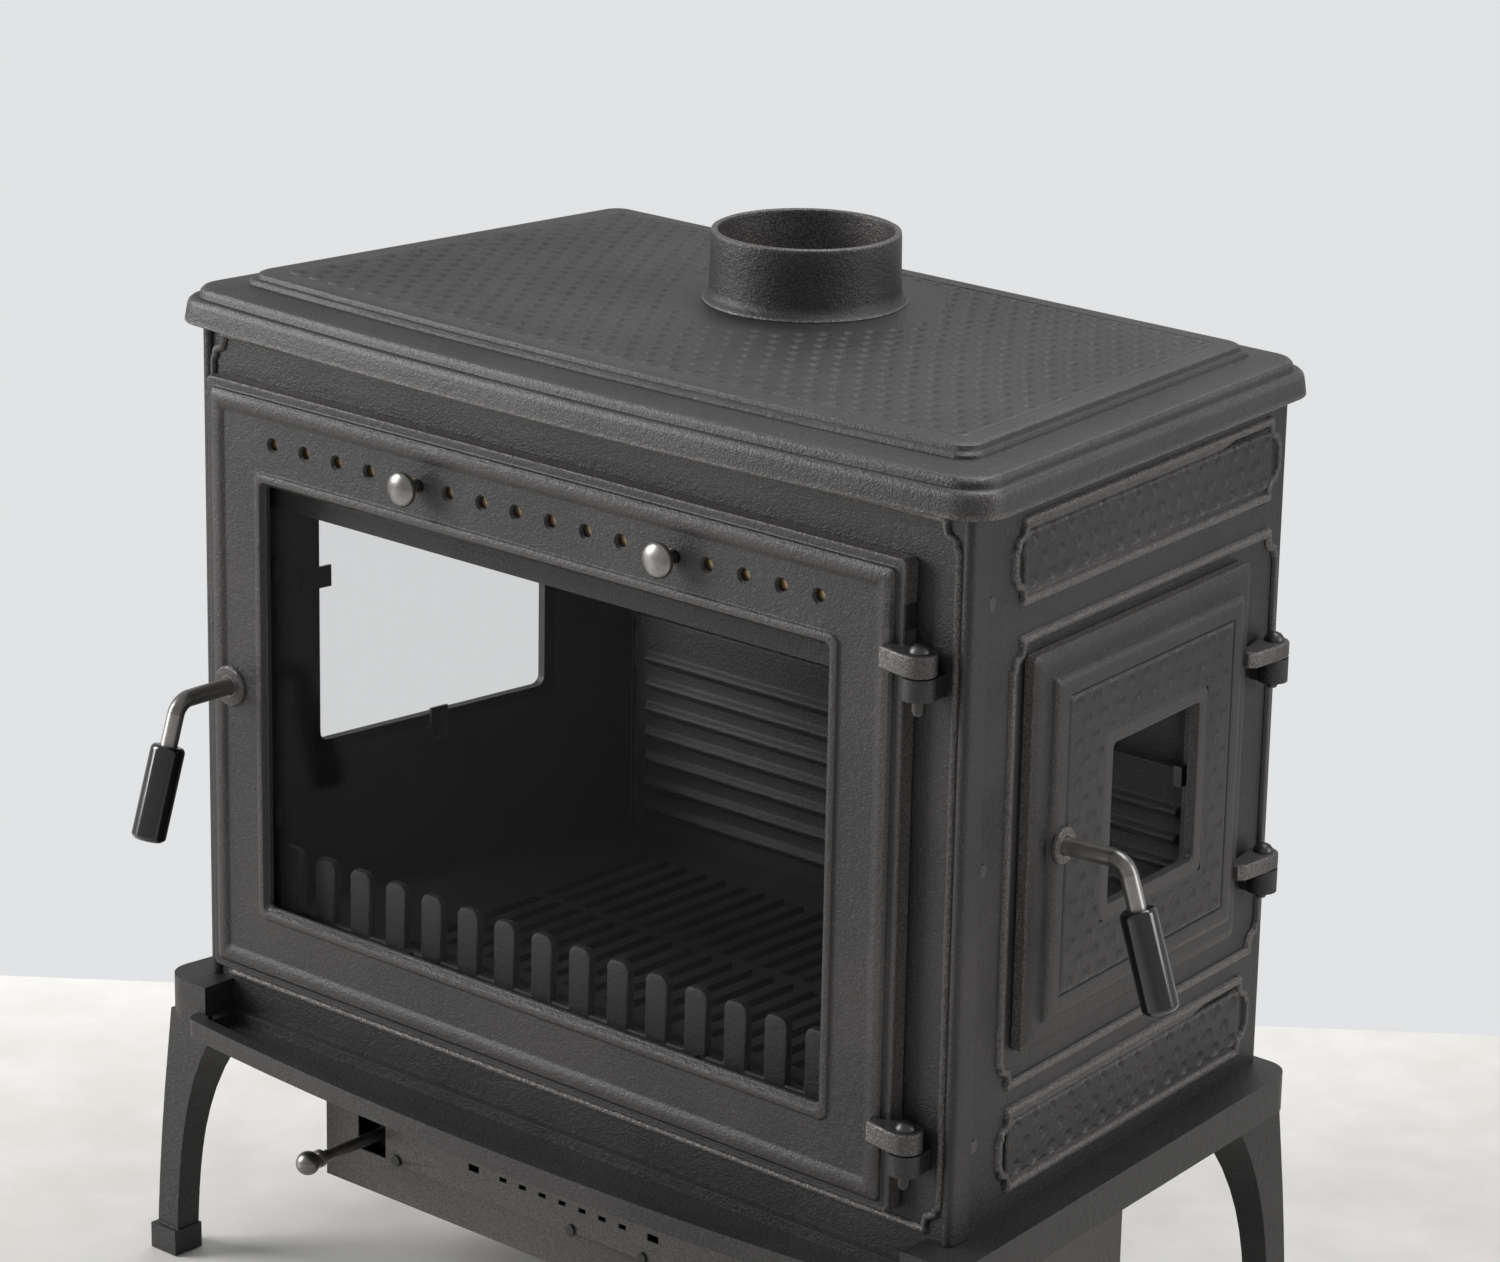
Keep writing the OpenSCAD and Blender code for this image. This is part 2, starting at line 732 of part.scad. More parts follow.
// leg with its outer edges towards -X and -Y
module leg() {
    intersection() {
        translate([0, 90, 0]) rotate([90, 0, 0]) linear_extrude(110) leg_profile();
        translate([-20, 0, 0]) rotate([90, 0, 90]) linear_extrude(110) leg_profile();
    }
    block([skirt / cos(side_angle) + 52 * tan(side_angle) + 1.2, 12, leg_h - 1],
        [46, 52, body_z - web]);
}

// places children at the outer corner of each leg, turned so that X and Y point inwards
module leg_corner(side, back) {
    y = back > 0 ? y_back + base_back : y_front - base_over;
    translate([side * side_x(y, base_over), y, 0]) mirror([side > 0 ? 1 : 0, 0, 0])
        mirror([0, back > 0 ? 1 : 0, 0]) children();
}

// place of the tie rod seen from a leg's corner
function tie_in(back) =
    let (y = back > 0 ? y_back + base_back : y_front - base_over)
    let (tie_y = back > 0 ? tie_back_y : tie_front_y)
    [side_x(y, base_over) - side_x(tie_y, tie_out), abs(tie_y - y)];

module one_leg(side, back) {
    tie = tie_in(back);
    color(iron) placed() difference() {
        leg_corner(side, back) {
            leg();
            block([24, tie.y - 14, lug_z], [tie.x + 13, tie.y + 14, body_z - web]);
        }
        tie_places() translate([0, 0, lug_z - 1]) cylinder(r = 4.3, h = 12);
        block([-notch_half, y_front - 60, leg_h - 8.3], [notch_half, y_front, leg_h + 1]);
    }
}

module leg_front_left() {
    one_leg(-1, -1);
}

module leg_front_right() {
    one_leg(1, -1);
}

module leg_rear_left() {
    one_leg(-1, 1);
}

module leg_rear_right() {
    one_leg(1, 1);
}

module shelf_bolt_places() {
    for (x = [-260, -90, 90, 260]) translate([x, y_front + 10, leg_h + 4]) rotate([90, 0, 0])
        children();
}

module shelf_bolts() {
    color(steel) placed() shelf_bolt_places() {
        translate([0, 0, -4]) cylinder(r = 6, h = 4, $fn = 6);
        translate([0, 0, -1]) cylinder(r = 3, h = 17);
    }
}

// ---- left window ----

module left_clip_places() {
    mid_s = left_window_start + left_window_w / 2;
    mid_z = left_z0 + left_window_h / 2;
    on_left() {
        for (side = [-1, 1])
            translate([mid_s + side * (left_window_w / 2 + 1), mid_z + left_window_h * 0.14, -wall])
                rotate([0, 0, side > 0 ? 0 : 180]) children();
        translate([mid_s, mid_z - left_window_h / 2 - 1, -wall]) rotate([0, 0, -90]) children();
    }
}

// clip that holds glass against a face at z = 0, reaching from the glass at -X outward;
// the glass lies between -lift and 0 below the clip's foot
module glass_clip(lift, out) {
    difference() {
        union() {
            translate([-8, -9, -lift - 2.5]) cube([out + 8, 18, 2.5]);
            translate([out - 12, -9, -lift - 2.5]) cube([12, 18, lift + 2.5]);
        }
        translate([out - 6, 0, -lift - 4]) cylinder(r = 2.2, h = lift + 5);
    }
}

module left_window_glass() {
    color("gray", 0.4) placed() on_left() side_upright(left_window_start - left_lap,
        left_z0 - left_lap, left_window_w + 2 * left_lap, left_window_h + 2 * left_lap,
        -wall - glass_t - clear_gap, -wall - clear_gap, 8);
}

module left_glass_clips() {
    color(steel) placed() left_clip_places() glass_clip(glass_t + 2 * clear_gap, 22);
}

module left_clip_screws() {
    lift = glass_t + 2 * clear_gap;
    color(steel) placed() left_clip_places() translate([16, 0, -lift - 2.5])
        mirror([0, 0, 1]) screw(4, 2.5, 2.1, lift + 2.5);
}

// ---- ash box ----

module ash_box() {
    x = ash_w / 2;
    y0 = -ash_front;
    y1 = ash_back;
    color(dark_iron) placed() difference() {
        union() {
            difference() {
                block([-x, y0, ash_z], [x, y1, ash_top]);
                block([-x + sheet, y0 - 1, ash_z + sheet], [x - sheet, y1 - sheet, ash_top + 1]);
            }
            block([-x, y0, front_z1 + 2], [x, y0 + sheet, ash_top]);
            for (side = [-1, 1]) mirrored(side)
                block([x - 1, y0, ash_top - sheet], [x + 16, y1, ash_top]);
        }
        damper_holes(-x - 1, sheet + 2);
        ash_screw_places() translate([0, 0, -sheet - 1]) cylinder(r = 3 + fit_gap, h = sheet + 2);
    }
}

front_z1 = leg_h - 11;
vent_mid = -49;

module damper_holes(x, len) {
    for (i = [0:2]) translate([x, -108 + 48 * i, air_rod_z]) rotate([0, 90, 0])
        cylinder(r = 11, h = len);
}

module ash_screw_places() {
    for (side = [-1, 1], y = [-140, 60]) translate([side * (ash_w / 2 + 8), y, ash_top])
        children();
}

module ash_box_screws() {
    color(steel) placed() ash_screw_places() {
        translate([0, 0, -sheet - 3]) cylinder(r = 5, h = 3);
        translate([0, 0, -sheet - 1]) cylinder(r = 3, h = sheet + 6);
    }
}

module rivet_places() {
    for (x = [-237, -39, 39, 237]) translate([x, -ash_front - drawer_gap - sheet, ash_z + 36])
        rotate([90, 0, 0]) children();
}

module ash_drawer_front() {
    x = ash_w / 2;
    y1 = -ash_front - drawer_gap;
    color(iron) placed() difference() {
        block([-x, y1 - sheet, ash_z], [x, y1, front_z1]);
        translate([air_rod_x - ball_r - 6, y1 - sheet - 1, air_rod_z - ball_r - 4])
            cube([2 * ball_r + 12, sheet + 2, ash_top]);
        for (i = [-3:3]) translate([vent_mid + i * 22 - 4, y1 - sheet - 1, ash_z + 54])
            cube([8, sheet + 2, 4]);
        for (side = [-1, 1]) translate([vent_mid + side * 99 - 6, y1 - sheet - 1, ash_z + 53])
            cube([12, sheet + 2, 6]);
        rivet_places() translate([0, 0, -5]) cylinder(r = 3 + fit_gap, h = 10);
    }
}

pan_y0 = -ash_front - drawer_gap;
pan_z0 = ash_z + sheet + clear_gap;
pan_z1 = ash_z + 50;

// bent-up floor, sides and back of the pan
module ash_pan() {
    y1 = ash_back - sheet - 8;
    x = pan_w / 2;
    color(steel) placed() difference() {
        block([-x, pan_y0, pan_z0], [x, y1, pan_z1]);
        block([-x + sheet, pan_y0 - 1, pan_z0 + sheet], [x - sheet, y1 - sheet, pan_z1 + 1]);
    }
}

// the pan's front wall, welded in between its sides and riveted to the drawer's front
module ash_pan_front() {
    x = pan_w / 2 - sheet;
    color(steel) placed() difference() {
        block([-x, pan_y0, pan_z0 + sheet], [x, pan_y0 + sheet, pan_z1]);
        rivet_places() translate([0, 0, -sheet - 3]) cylinder(r = 3 + fit_gap, h = 10);
    }
}

module drawer_rivets() {
    color(steel) placed() rivet_places() {
        cylinder(r = 5, h = 2);
        translate([0, 0, -3 * sheet]) cylinder(r = 3, h = 3 * sheet + 1);
    }
}

module air_rod() {
    color(steel) placed() translate([air_rod_x, ball_y, air_rod_z]) rotate([-90, 0, 0]) {
        translate([0, 0, 2]) cylinder(r = air_rod_r, h = -62 - ball_y);
        translate([0, 0, ball_r + 0.5]) cylinder(r = air_rod_r + 2.5, h = 4);
    }
}

module air_rod_knob() {
    color(steel) placed() translate([air_rod_x, ball_y, air_rod_z]) rotate([-90, 0, 0])
        difference() {
            sphere(r = ball_r);
            translate([0, 0, 2]) cylinder(r = air_rod_r + fit_gap, h = 20);
        }
}

module air_damper() {
    x0 = -ash_w / 2 + sheet + 1;
    arm_y = -66;
    color(steel) placed() difference() {
        union() {
            block([x0, -130, air_rod_z - 20], [x0 + 2, 30, air_rod_z + 20]);
            block([x0, arm_y - 8, air_rod_z - 9], [air_rod_x + 9, arm_y + 4, air_rod_z + 9]);
        }
        damper_holes(x0 - 1, 4);
        translate([air_rod_x, arm_y - 10, air_rod_z]) rotate([-90, 0, 0])
            cylinder(r = air_rod_r + fit_gap, h = 30);
    }
}

module rod_guide() {
    y = -ash_front + 20;
    color(steel) placed() difference() {
        block([air_rod_x - 9, y - 4, ash_z + sheet], [air_rod_x + 9, y + 4, air_rod_z + 11]);
        translate([air_rod_x, y - 5, air_rod_z]) rotate([-90, 0, 0])
            cylinder(r = air_rod_r + run_gap, h = 10);
    }
}

// ---- hinge pins ----

// pin with a button head on top of its ear at z = 0, reaching down len
module hinge_pin(len) {
    translate([0, 0, clear_gap]) cylinder(r = pin_d / 2 + 3, h = 3);
    translate([0, 0, clear_gap + 3]) cylinder(r1 = pin_d / 2 + 3, r2 = pin_d / 2, h = 2);
    translate([0, 0, -len]) cylinder(d = pin_d, h = len + 1);
}

module front_hinge_pins() {
    color(steel) placed() for (z = front_ear_zs) translate([hinge_x, hinge_y, z + ear_h])
        hinge_pin(ear_h + knuckle_h + 13);
}

module side_hinge_pins() {
    color(steel) placed() for (z = side_ear_zs) on_right()
        translate([side_hinge_s, z + side_ear_h, side_hinge_out]) rotate([-90, 0, 0])
            hinge_pin(side_ear_h + side_knuckle_h + 11);
}

// ---- front door ----

module hole_row(xs, r, y0, y1) {
    for (x = xs) translate([x, y0, air_z]) rotate([-90, 0, 0]) cylinder(r = r, h = y1 - y0);
}

module front_door() {
    x1 = door_x1;
    slot_r = 5 + clear_gap;
    color(iron) placed() difference() {
        union() {
            upright(door_x0, door_z0, door_w, door_h, door_face_y, door_back_y, 4);
            for (z = front_ear_zs) {
                translate([hinge_x, hinge_y, z]) cylinder(r = knuckle_r, h = ear_h);
                block([x1 - 25, hinge_y - knuckle_r, z], [hinge_x, door_back_y - 4, z + ear_h]);
            }
            at_front_handle() cylinder(r = boss_r, h = boss_h);
        }
        upright(door_mid - window_w / 2, window_z0, window_w, window_h, door_face_y - 1,
            door_back_y + 1, 8);
        upright(door_mid - window_w / 2 - window_lap, window_z0 - window_lap,
            window_w + 2 * window_lap, window_h + 2 * window_lap, door_back_y - rebate_t,
            door_back_y + 1, 8);
        // channel for the air slide and its knobs' slots
        block([hole_xs[0] - 40, door_back_y - rebate_t, air_z - slide_h / 2 - 1.5],
            [hole_xs[13] + 40, door_back_y + 1, air_z + slide_h / 2 + 1.5]);
        hole_row(hole_xs, air_hole_d / 2, door_face_y - 1, door_back_y);
        hole_row(knob_xs, slot_r, door_face_y - 1, door_back_y);
        hole_row([for (x = knob_xs) x + air_throw], slot_r, door_face_y - 1, door_back_y);
        for (x = knob_xs) block([x, door_face_y - 1, air_z - slot_r],
            [x + air_throw, door_back_y, air_z + slot_r]);
        // groove for the rope seal
        translate([door_x0 + seal_inset, door_back_y + 1, door_z0 + seal_inset]) rotate([90, 0, 0])
            linear_extrude(5) frame_2d(door_w - 2 * seal_inset, door_h - 2 * seal_inset, seal_w, 6);
        for (z = front_ear_zs)
            translate([hinge_x, hinge_y, z - 1]) cylinder(d = pin_d + 2 * run_gap, h = ear_h + 2);
        at_front_handle() translate([0, 0, -door_t - 1])
            cylinder(d = rod_d + 2 * run_gap, h = door_t + boss_h + 2);
        front_clip_places() translate([14, 0, -8]) cylinder(r = 2 + fit_gap, h = 10);
        strap_screw_places() translate([0, 0, -8]) cylinder(r = 2 + fit_gap, h = 10);
    }
}

module front_door_seal() {
    w = door_w - 2 * seal_inset - 0.4;
    h = door_h - 2 * seal_inset - 0.4;
    color(rope) placed() translate([door_x0 + seal_inset + 0.2, door_back_y + door_gap - clear_gap,
        door_z0 + seal_inset + 0.2]) rotate([90, 0, 0])
            linear_extrude(door_gap - clear_gap + 3.9) frame_2d(w, h, seal_w - 0.4, 5.8);
}

module front_glass() {
    grow = window_lap - 1;
    y0 = door_back_y - rebate_t + tape_t;
    color("gray", 0.4) placed() upright(door_mid - window_w / 2 - grow, window_z0 - grow,
        window_w + 2 * grow, window_h + 2 * grow, y0, y0 + glass_t, 7);
}

module front_glass_tape() {
    grow = window_lap - 1;
    color(rope) placed() translate([door_mid - window_w / 2 - grow,
        door_back_y - rebate_t + tape_t, window_z0 - grow]) rotate([90, 0, 0])
            linear_extrude(tape_t)
                frame_2d(window_w + 2 * grow, window_h + 2 * grow, grow - 1, 7);
}

// places on the door's inner face where a clip holds the glass, X pointing away from the glass
module front_clip_places() {
    w = window_w / 2 + window_lap;
    h = window_h / 2 + window_lap;
    translate([door_mid, door_back_y, window_z0 + window_h / 2]) rotate([-90, 0, 0]) {
        for (side = [-1, 1], v = [-0.55, 0.55]) translate([side * w, v * h, 0])
            rotate([0, 0, side > 0 ? 0 : 180]) children();
        for (v = [-0.5, 0.5]) translate([v * w, h, 0]) rotate([0, 0, 90]) children();
    }
}

clip_drop = rebate_t - tape_t - glass_t;

// clip on a door's inner face: its foot presses on the glass, its tail is screwed down
module door_clip() {
    difference() {
        union() {
            translate([-10, -8, 0]) cube([32, 16, 2.5]);
            translate([-10, -8, -clip_drop]) cube([8, 16, clip_drop + 1]);
        }
        translate([14, 0, -1]) cylinder(r = 2.2, h = 5);
    }
}

module front_glass_clips() {
    color(steel) placed() front_clip_places() door_clip();
}

module strap_screw_places() {
    for (x = knob_xs, v = [-1, 1]) translate([x, door_back_y, air_z + v * (slide_h / 2 + 5.5)])
        rotate([-90, 0, 0]) children();
}

module front_clip_screws() {
    color(steel) placed() {
        front_clip_places() translate([14, 0, 2.5]) screw(4, 2, 2, 8);
        strap_screw_places() translate([0, 0, 2.5]) screw(3.5, 2, 2, 8);
    }
}

slide_y = door_back_y - rebate_t + 0.5;

module slide_straps() {
    color(steel) placed() difference() {
        for (x = knob_xs) {
            block([x - 9, door_back_y, air_z - slide_h / 2 - 9],
                [x + 9, door_back_y + 2.5, air_z + slide_h / 2 + 9]);
            block([x - 9, slide_y + slide_t + clear_gap, air_z - slide_h / 2],
                [x + 9, door_back_y + 1, air_z + slide_h / 2]);
        }
        strap_screw_places() translate([0, 0, -1]) cylinder(r = 2.2, h = 5);
    }
}

module air_slide() {
    color("#8a7f6c") placed() difference() {
        block([hole_xs[0] - 24 + slide_rest, slide_y, air_z - slide_h / 2],
            [hole_xs[13] + 24 + slide_rest, slide_y + slide_t, air_z + slide_h / 2]);
        hole_row([for (x = hole_xs) x + slide_rest], air_hole_d / 2, slide_y - 1, slide_y + 5);
        hole_row([for (x = knob_xs) x + slide_rest], 3 + fit_gap, slide_y - 1, slide_y + 5);
    }
}

module air_slide_knobs() {
    color(steel) placed() for (x = knob_xs)
        translate([x + slide_rest, door_face_y, air_z]) rotate([90, 0, 0]) {
            translate([0, 0, 14]) cylinder(r1 = 14, r2 = 11, h = 5);
            translate([0, 0, 9]) cylinder(r1 = 10, r2 = 14, h = 5);
            translate([0, 0, -door_t + rebate_t - 0.5]) cylinder(r = 5, h = 18);
            translate([0, 0, -door_t + rebate_t - 0.5 - slide_t]) cylinder(r = 3, h = 10);
        }
}

// ---- front handle ----

plate_behind = door_gap + wall;

module front_handle_rod() {
    color(steel) placed() at_front_handle() bent_rod(-door_t - plate_behind - 11, rod_d / 2,
        grip_l - 16);
}

module front_handle_grip() {
    color("#141414") placed() at_front_handle() handle_grip();
}

module front_latch_tongue() {
    z1 = -door_t - plate_behind - 3;
    color(steel) placed() at_front_handle() tongue(front_tongue, z1 - 6, z1);
}

// ---- side door ----

module side_clip_places() {
    w = side_window_w / 2 + side_lap;
    h = side_window_h / 2 + side_lap;
    on_right() translate([side_window_s + side_window_w / 2, side_window_z + side_window_h / 2,
        door_gap]) mirror([0, 0, 1]) {
            for (side = [-1, 1]) translate([side * w, 0, 0]) rotate([0, 0, side > 0 ? 0 : 180])
                children();
            for (side = [-1, 1]) translate([0, side * h, 0]) rotate([0, 0, side * 90]) children();
        }
}

module side_door() {
    face = door_gap + door_t;
    color(iron) placed() difference() {
        union() {
            on_right() side_upright(side_door_start, side_z0, side_door_w, side_door_h,
                door_gap, face, 6);
            for (z = side_ear_zs) on_right() {
                translate([side_hinge_s, z + side_ear_h, side_hinge_out]) rotate([90, 0, 0])
                    cylinder(r = knuckle_r - 1, h = side_ear_h);
                block([side_back_s - 20, z, door_gap + 4],
                    [side_hinge_s, z + side_ear_h, side_hinge_out + knuckle_r - 1]);
            }
            at_side_handle() cylinder(r = boss_r - 3, h = 4);
        }
        on_right() {
            side_upright(side_window_s, side_window_z, side_window_w, side_window_h,
                door_gap - 1, face + 1, 5);
            side_upright(side_window_s - side_lap, side_window_z - side_lap,
                side_window_w + 2 * side_lap, side_window_h + 2 * side_lap, door_gap - 1,
                door_gap + rebate_t, 5);
            translate([side_door_start + seal_inset, side_z0 + seal_inset, door_gap - 1])
                linear_extrude(5) frame_2d(side_door_w - 2 * seal_inset,
                    side_door_h - 2 * seal_inset, seal_w, 6);
            for (z = side_ear_zs) translate([side_hinge_s, z + side_ear_h + 1, side_hinge_out])
                rotate([90, 0, 0]) cylinder(d = pin_d + 2 * run_gap, h = side_ear_h + 2);
        }
        at_side_handle() translate([0, 0, -door_t - 1])
            cylinder(d = rod_d + 2 * run_gap, h = door_t + 6);
        side_clip_places() translate([14, 0, -8]) cylinder(r = 2 + fit_gap, h = 10);
    }
}

module side_door_seal() {
    w = side_door_w - 2 * seal_inset - 0.4;
    h = side_door_h - 2 * seal_inset - 0.4;
    color(rope) placed() on_right() translate([side_door_start + seal_inset + 0.2,
        side_z0 + seal_inset + 0.2, clear_gap]) linear_extrude(door_gap - clear_gap + 3.9)
            frame_2d(w, h, seal_w - 0.4, 5.8);
}

module side_glass() {
    grow = side_lap - 1;
    out1 = door_gap + rebate_t - tape_t;
    color("gray", 0.4) placed() on_right() side_upright(side_window_s - grow,
        side_window_z - grow, side_window_w + 2 * grow, side_window_h + 2 * grow,
        out1 - glass_t, out1, 5);
}

module side_glass_tape() {
    grow = side_lap - 1;
    color(rope) placed() on_right() translate([side_window_s - grow, side_window_z - grow,
        door_gap + rebate_t - tape_t]) linear_extrude(tape_t)
            frame_2d(side_window_w + 2 * grow, side_window_h + 2 * grow, grow - 1, 5);
}

module side_glass_clips() {
    color(steel) placed() side_clip_places() door_clip();
}

module side_clip_screws() {
    color(steel) placed() side_clip_places() translate([14, 0, 2.5]) screw(4, 2, 2, 8);
}

module side_handle_rod() {
    color(steel) placed() at_side_handle() bent_rod(-door_t - plate_behind - 11, rod_d / 2,
        grip_l - 16);
}

module side_handle_grip() {
    color("#141414") placed() at_side_handle() handle_grip();
}

module side_latch_tongue() {
    z1 = -door_t - plate_behind - 3;
    color(steel) placed() at_side_handle() tongue(side_tongue, z1 - 6, z1);
}

lid();
flue_collar();
collar_bolts();
front_plate();
left_plate();
right_plate();
back_plate();
bottom_plate();
firebox_floor();
grate();
log_guard();
fire_back();
baffle();
air_deflector();
base_frame();
ash_shelf();
leg_front_left();
leg_front_right();
leg_rear_left();
leg_rear_right();
shelf_bolts();
ash_box_screws();
tie_rods();
plate_screws();
left_window_glass();
left_glass_clips();
left_clip_screws();
ash_box();
ash_drawer_front();
ash_pan();
ash_pan_front();
drawer_rivets();
air_rod();
air_rod_knob();
air_damper();
rod_guide();
front_hinge_pins();
side_hinge_pins();
front_door();
front_door_seal();
front_glass();
front_glass_tape();
front_glass_clips();
front_clip_screws();
slide_straps();
air_slide();
air_slide_knobs();
front_handle_rod();
front_handle_grip();
front_latch_tongue();
side_door();
side_door_seal();
side_glass();
side_glass_tape();
side_glass_clips();
side_clip_screws();
side_handle_rod();
side_handle_grip();
side_latch_tongue();
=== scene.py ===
import bpy
import bmesh
import json
import math
from mathutils import Matrix, Vector


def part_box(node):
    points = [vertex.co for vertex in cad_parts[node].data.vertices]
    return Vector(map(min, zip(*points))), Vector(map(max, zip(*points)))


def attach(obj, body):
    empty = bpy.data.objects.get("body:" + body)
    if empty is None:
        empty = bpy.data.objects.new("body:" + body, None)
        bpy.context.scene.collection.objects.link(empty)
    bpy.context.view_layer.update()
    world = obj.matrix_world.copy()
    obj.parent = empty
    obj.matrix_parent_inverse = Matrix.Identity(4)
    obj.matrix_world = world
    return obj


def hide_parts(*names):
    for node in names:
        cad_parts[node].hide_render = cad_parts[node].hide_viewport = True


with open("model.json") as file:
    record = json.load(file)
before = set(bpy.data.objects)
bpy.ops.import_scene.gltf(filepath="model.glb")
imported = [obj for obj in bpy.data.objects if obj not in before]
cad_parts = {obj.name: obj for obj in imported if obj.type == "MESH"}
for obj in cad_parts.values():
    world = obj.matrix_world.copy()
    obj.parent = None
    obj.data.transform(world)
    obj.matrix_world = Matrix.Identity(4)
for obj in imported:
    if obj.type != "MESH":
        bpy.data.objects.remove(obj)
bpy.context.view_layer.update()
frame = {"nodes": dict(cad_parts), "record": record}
nodes = frame["nodes"]

# the stove's own frame is in mm: x 0 at the flue, y 0 midway between the plates, z 0 at the floor
stove = {"halfFront": 391, "halfBack": 342, "frontY": -222, "backY": 222, "flueY": 49, "topZ": 843}
collarLow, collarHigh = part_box("flue_collar")
shiftX = (collarLow.x + collarHigh.x) / 2
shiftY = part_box("back_plate")[1].y - stove["backY"] / 1000
print("frame loaded")

lean = math.atan((stove["halfFront"] - stove["halfBack"]) / (stove["backY"] - stove["frontY"]))
toRow = Matrix.Translation((shiftX, shiftY, 0)) @ Matrix.Scale(0.001, 4)
rightSide = Matrix(((-math.sin(lean), 0, math.cos(lean), stove["halfFront"]),
                    (math.cos(lean), 0, math.sin(lean), stove["frontY"]),
                    (0, 1, 0, 0), (0, 0, 0, 1)))   # (along, up, out) on the right plate
leftSide = Matrix.Scale(-1, 4, (1, 0, 0)) @ rightSide
frontSide = Matrix(((1, 0, 0, 0), (0, 0, -1, 0), (0, 1, 0, 0), (0, 0, 0, 1)))   # (x, up, out from y 0)
same = Matrix.Identity(4)


def sideX(y, out=0):   # the right plate's face at y, or a line that far outside it
    return stove["halfFront"] - (y - stove["frontY"]) * math.tan(lean) + out / math.cos(lean)


# materials

class Wire:   # an output socket that can be added to and multiplied
    def __init__(self, shader, socket):
        self.shader = shader
        self.socket = socket

    def maths(self, kind, *values):
        node = self.shader.node("ShaderNodeMath", {"operation": kind}, dict(enumerate(values)))
        return Wire(self.shader, node.outputs[0])

    def __add__(self, other):
        return self.maths("ADD", self, other)

    def __radd__(self, other):
        return self.maths("ADD", other, self)

    def __sub__(self, other):
        return self.maths("SUBTRACT", self, other)

    def __mul__(self, other):
        return self.maths("MULTIPLY", self, other)

    def __rmul__(self, other):
        return self.maths("MULTIPLY", other, self)

    def step(self, low, high):
        node = self.shader.node("ShaderNodeMapRange", {"interpolation_type": "SMOOTHSTEP"},
                                {0: self, 1: low, 2: high, 3: 0.0, 4: 1.0})
        return Wire(self.shader, node.outputs[0])


class Shader:
    def __init__(self, name):
        self.material = bpy.data.materials.new(name)
        self.material.use_nodes = True
        self.tree = self.material.node_tree
        self.surface = self.tree.nodes["Principled BSDF"]
        place = self.node("ShaderNodeTexCoord", {}, {})
        self.place = Wire(self, place.outputs["Object"])

    def node(self, kind, settings, inputs):
        node = self.tree.nodes.new(kind)
        for key, value in settings.items():
            setattr(node, key, value)
        for key, value in inputs.items():
            if isinstance(value, Wire):
                self.tree.links.new(value.socket, node.inputs[key])
            else:
                node.inputs[key].default_value = value
        return node

    def noise(self, scale, detail=2.0, rough=0.5):
        made = self.node("ShaderNodeTexNoise", {}, {"Vector": self.place, "Scale": scale,
                                                    "Detail": detail, "Roughness": rough})
        return Wire(self, made.outputs["Fac"])

    def worn(self, low, high):
        made = self.node("ShaderNodeNewGeometry", {}, {})
        return Wire(self, made.outputs["Pointiness"]).step(low, high)

    def mix(self, mask, first, second):
        made = self.node("ShaderNodeMix", {"data_type": "RGBA"},
                         {"Factor": mask, 6: first, 7: second})
        return Wire(self, made.outputs[2])

    def finish(self, links, fixed, height=None, depth=0.0005, strength=1.0):
        for key, value in fixed.items():
            self.surface.inputs[key].default_value = value
        for key, wire in links.items():
            self.tree.links.new(wire.socket, self.surface.inputs[key])
        if height:
            bump = self.node("ShaderNodeBump", {}, {"Strength": strength, "Distance": depth,
                                                    "Height": height})
            self.tree.links.new(bump.outputs[0], self.surface.inputs["Normal"])
        return self.material


def castMaterial(name, look):
    s = Shader(name)
    grain = s.noise(look["grain"], 3.0, 0.6)
    coarse = s.noise(look["grain"] * 0.35, 2.0)
    patches = s.noise(7.0, 3.0, 0.6)
    speck = s.noise(look["grain"] * 1.3, 1.0).step(0.42, 0.62)
    edge = s.worn(0.507, 0.58) * (0.3 + 0.7 * speck)
    base = s.mix(patches.step(0.35, 0.7), look["dark"], look["light"])
    base = s.mix(grain.step(0.52, 0.76) * 0.7, base, look["spark"])
    colour = s.mix(edge * look["wear"], base, look["bare"])
    rough = look["rough"] + 0.16 * (grain - 0.5) + 0.1 * (patches - 0.5) - 0.14 * edge * look["wear"]
    return s.finish({"Base Color": colour, "Roughness": rough}, {"Metallic": look["metal"]},
                    grain + 0.8 * coarse, look["depth"], 0.75)


castLook = {"grain": 560.0, "dark": (0.022, 0.0208, 0.021, 1), "light": (0.034, 0.032, 0.0318, 1),
            "spark": (0.085, 0.079, 0.077, 1), "bare": (0.2, 0.187, 0.178, 1), "wear": 0.8,
            "rough": 0.45, "metal": 0.3, "depth": 0.0009}
sootLook = dict(castLook, dark=(0.009, 0.0087, 0.0087, 1), light=(0.016, 0.0152, 0.015, 1),
                spark=(0.028, 0.026, 0.025, 1), bare=(0.09, 0.082, 0.078, 1), rough=0.62, metal=0.1)
sheetLook = dict(castLook, grain=900.0, depth=0.00012, dark=(0.014, 0.0135, 0.0135, 1),
                 light=(0.022, 0.021, 0.0205, 1), spark=(0.028, 0.027, 0.026, 1), rough=0.46, wear=0.5)


def metalMaterial(name, dark, light, rough, scale=300.0):
    s = Shader(name)
    blotch = s.noise(35.0, 4.0, 0.65)
    fine = s.noise(scale, 2.0)
    edge = s.worn(0.51, 0.58)
    colour = s.mix(blotch.step(0.3, 0.7), dark, light)
    colour = s.mix(edge * 0.5, colour, tuple(min(1.0, c * 1.8) for c in light[:3]) + (1,))
    return s.finish({"Base Color": colour, "Roughness": rough + 0.2 * (blotch - 0.5)},
                    {"Metallic": 0.9}, fine, 0.00008, 0.5)


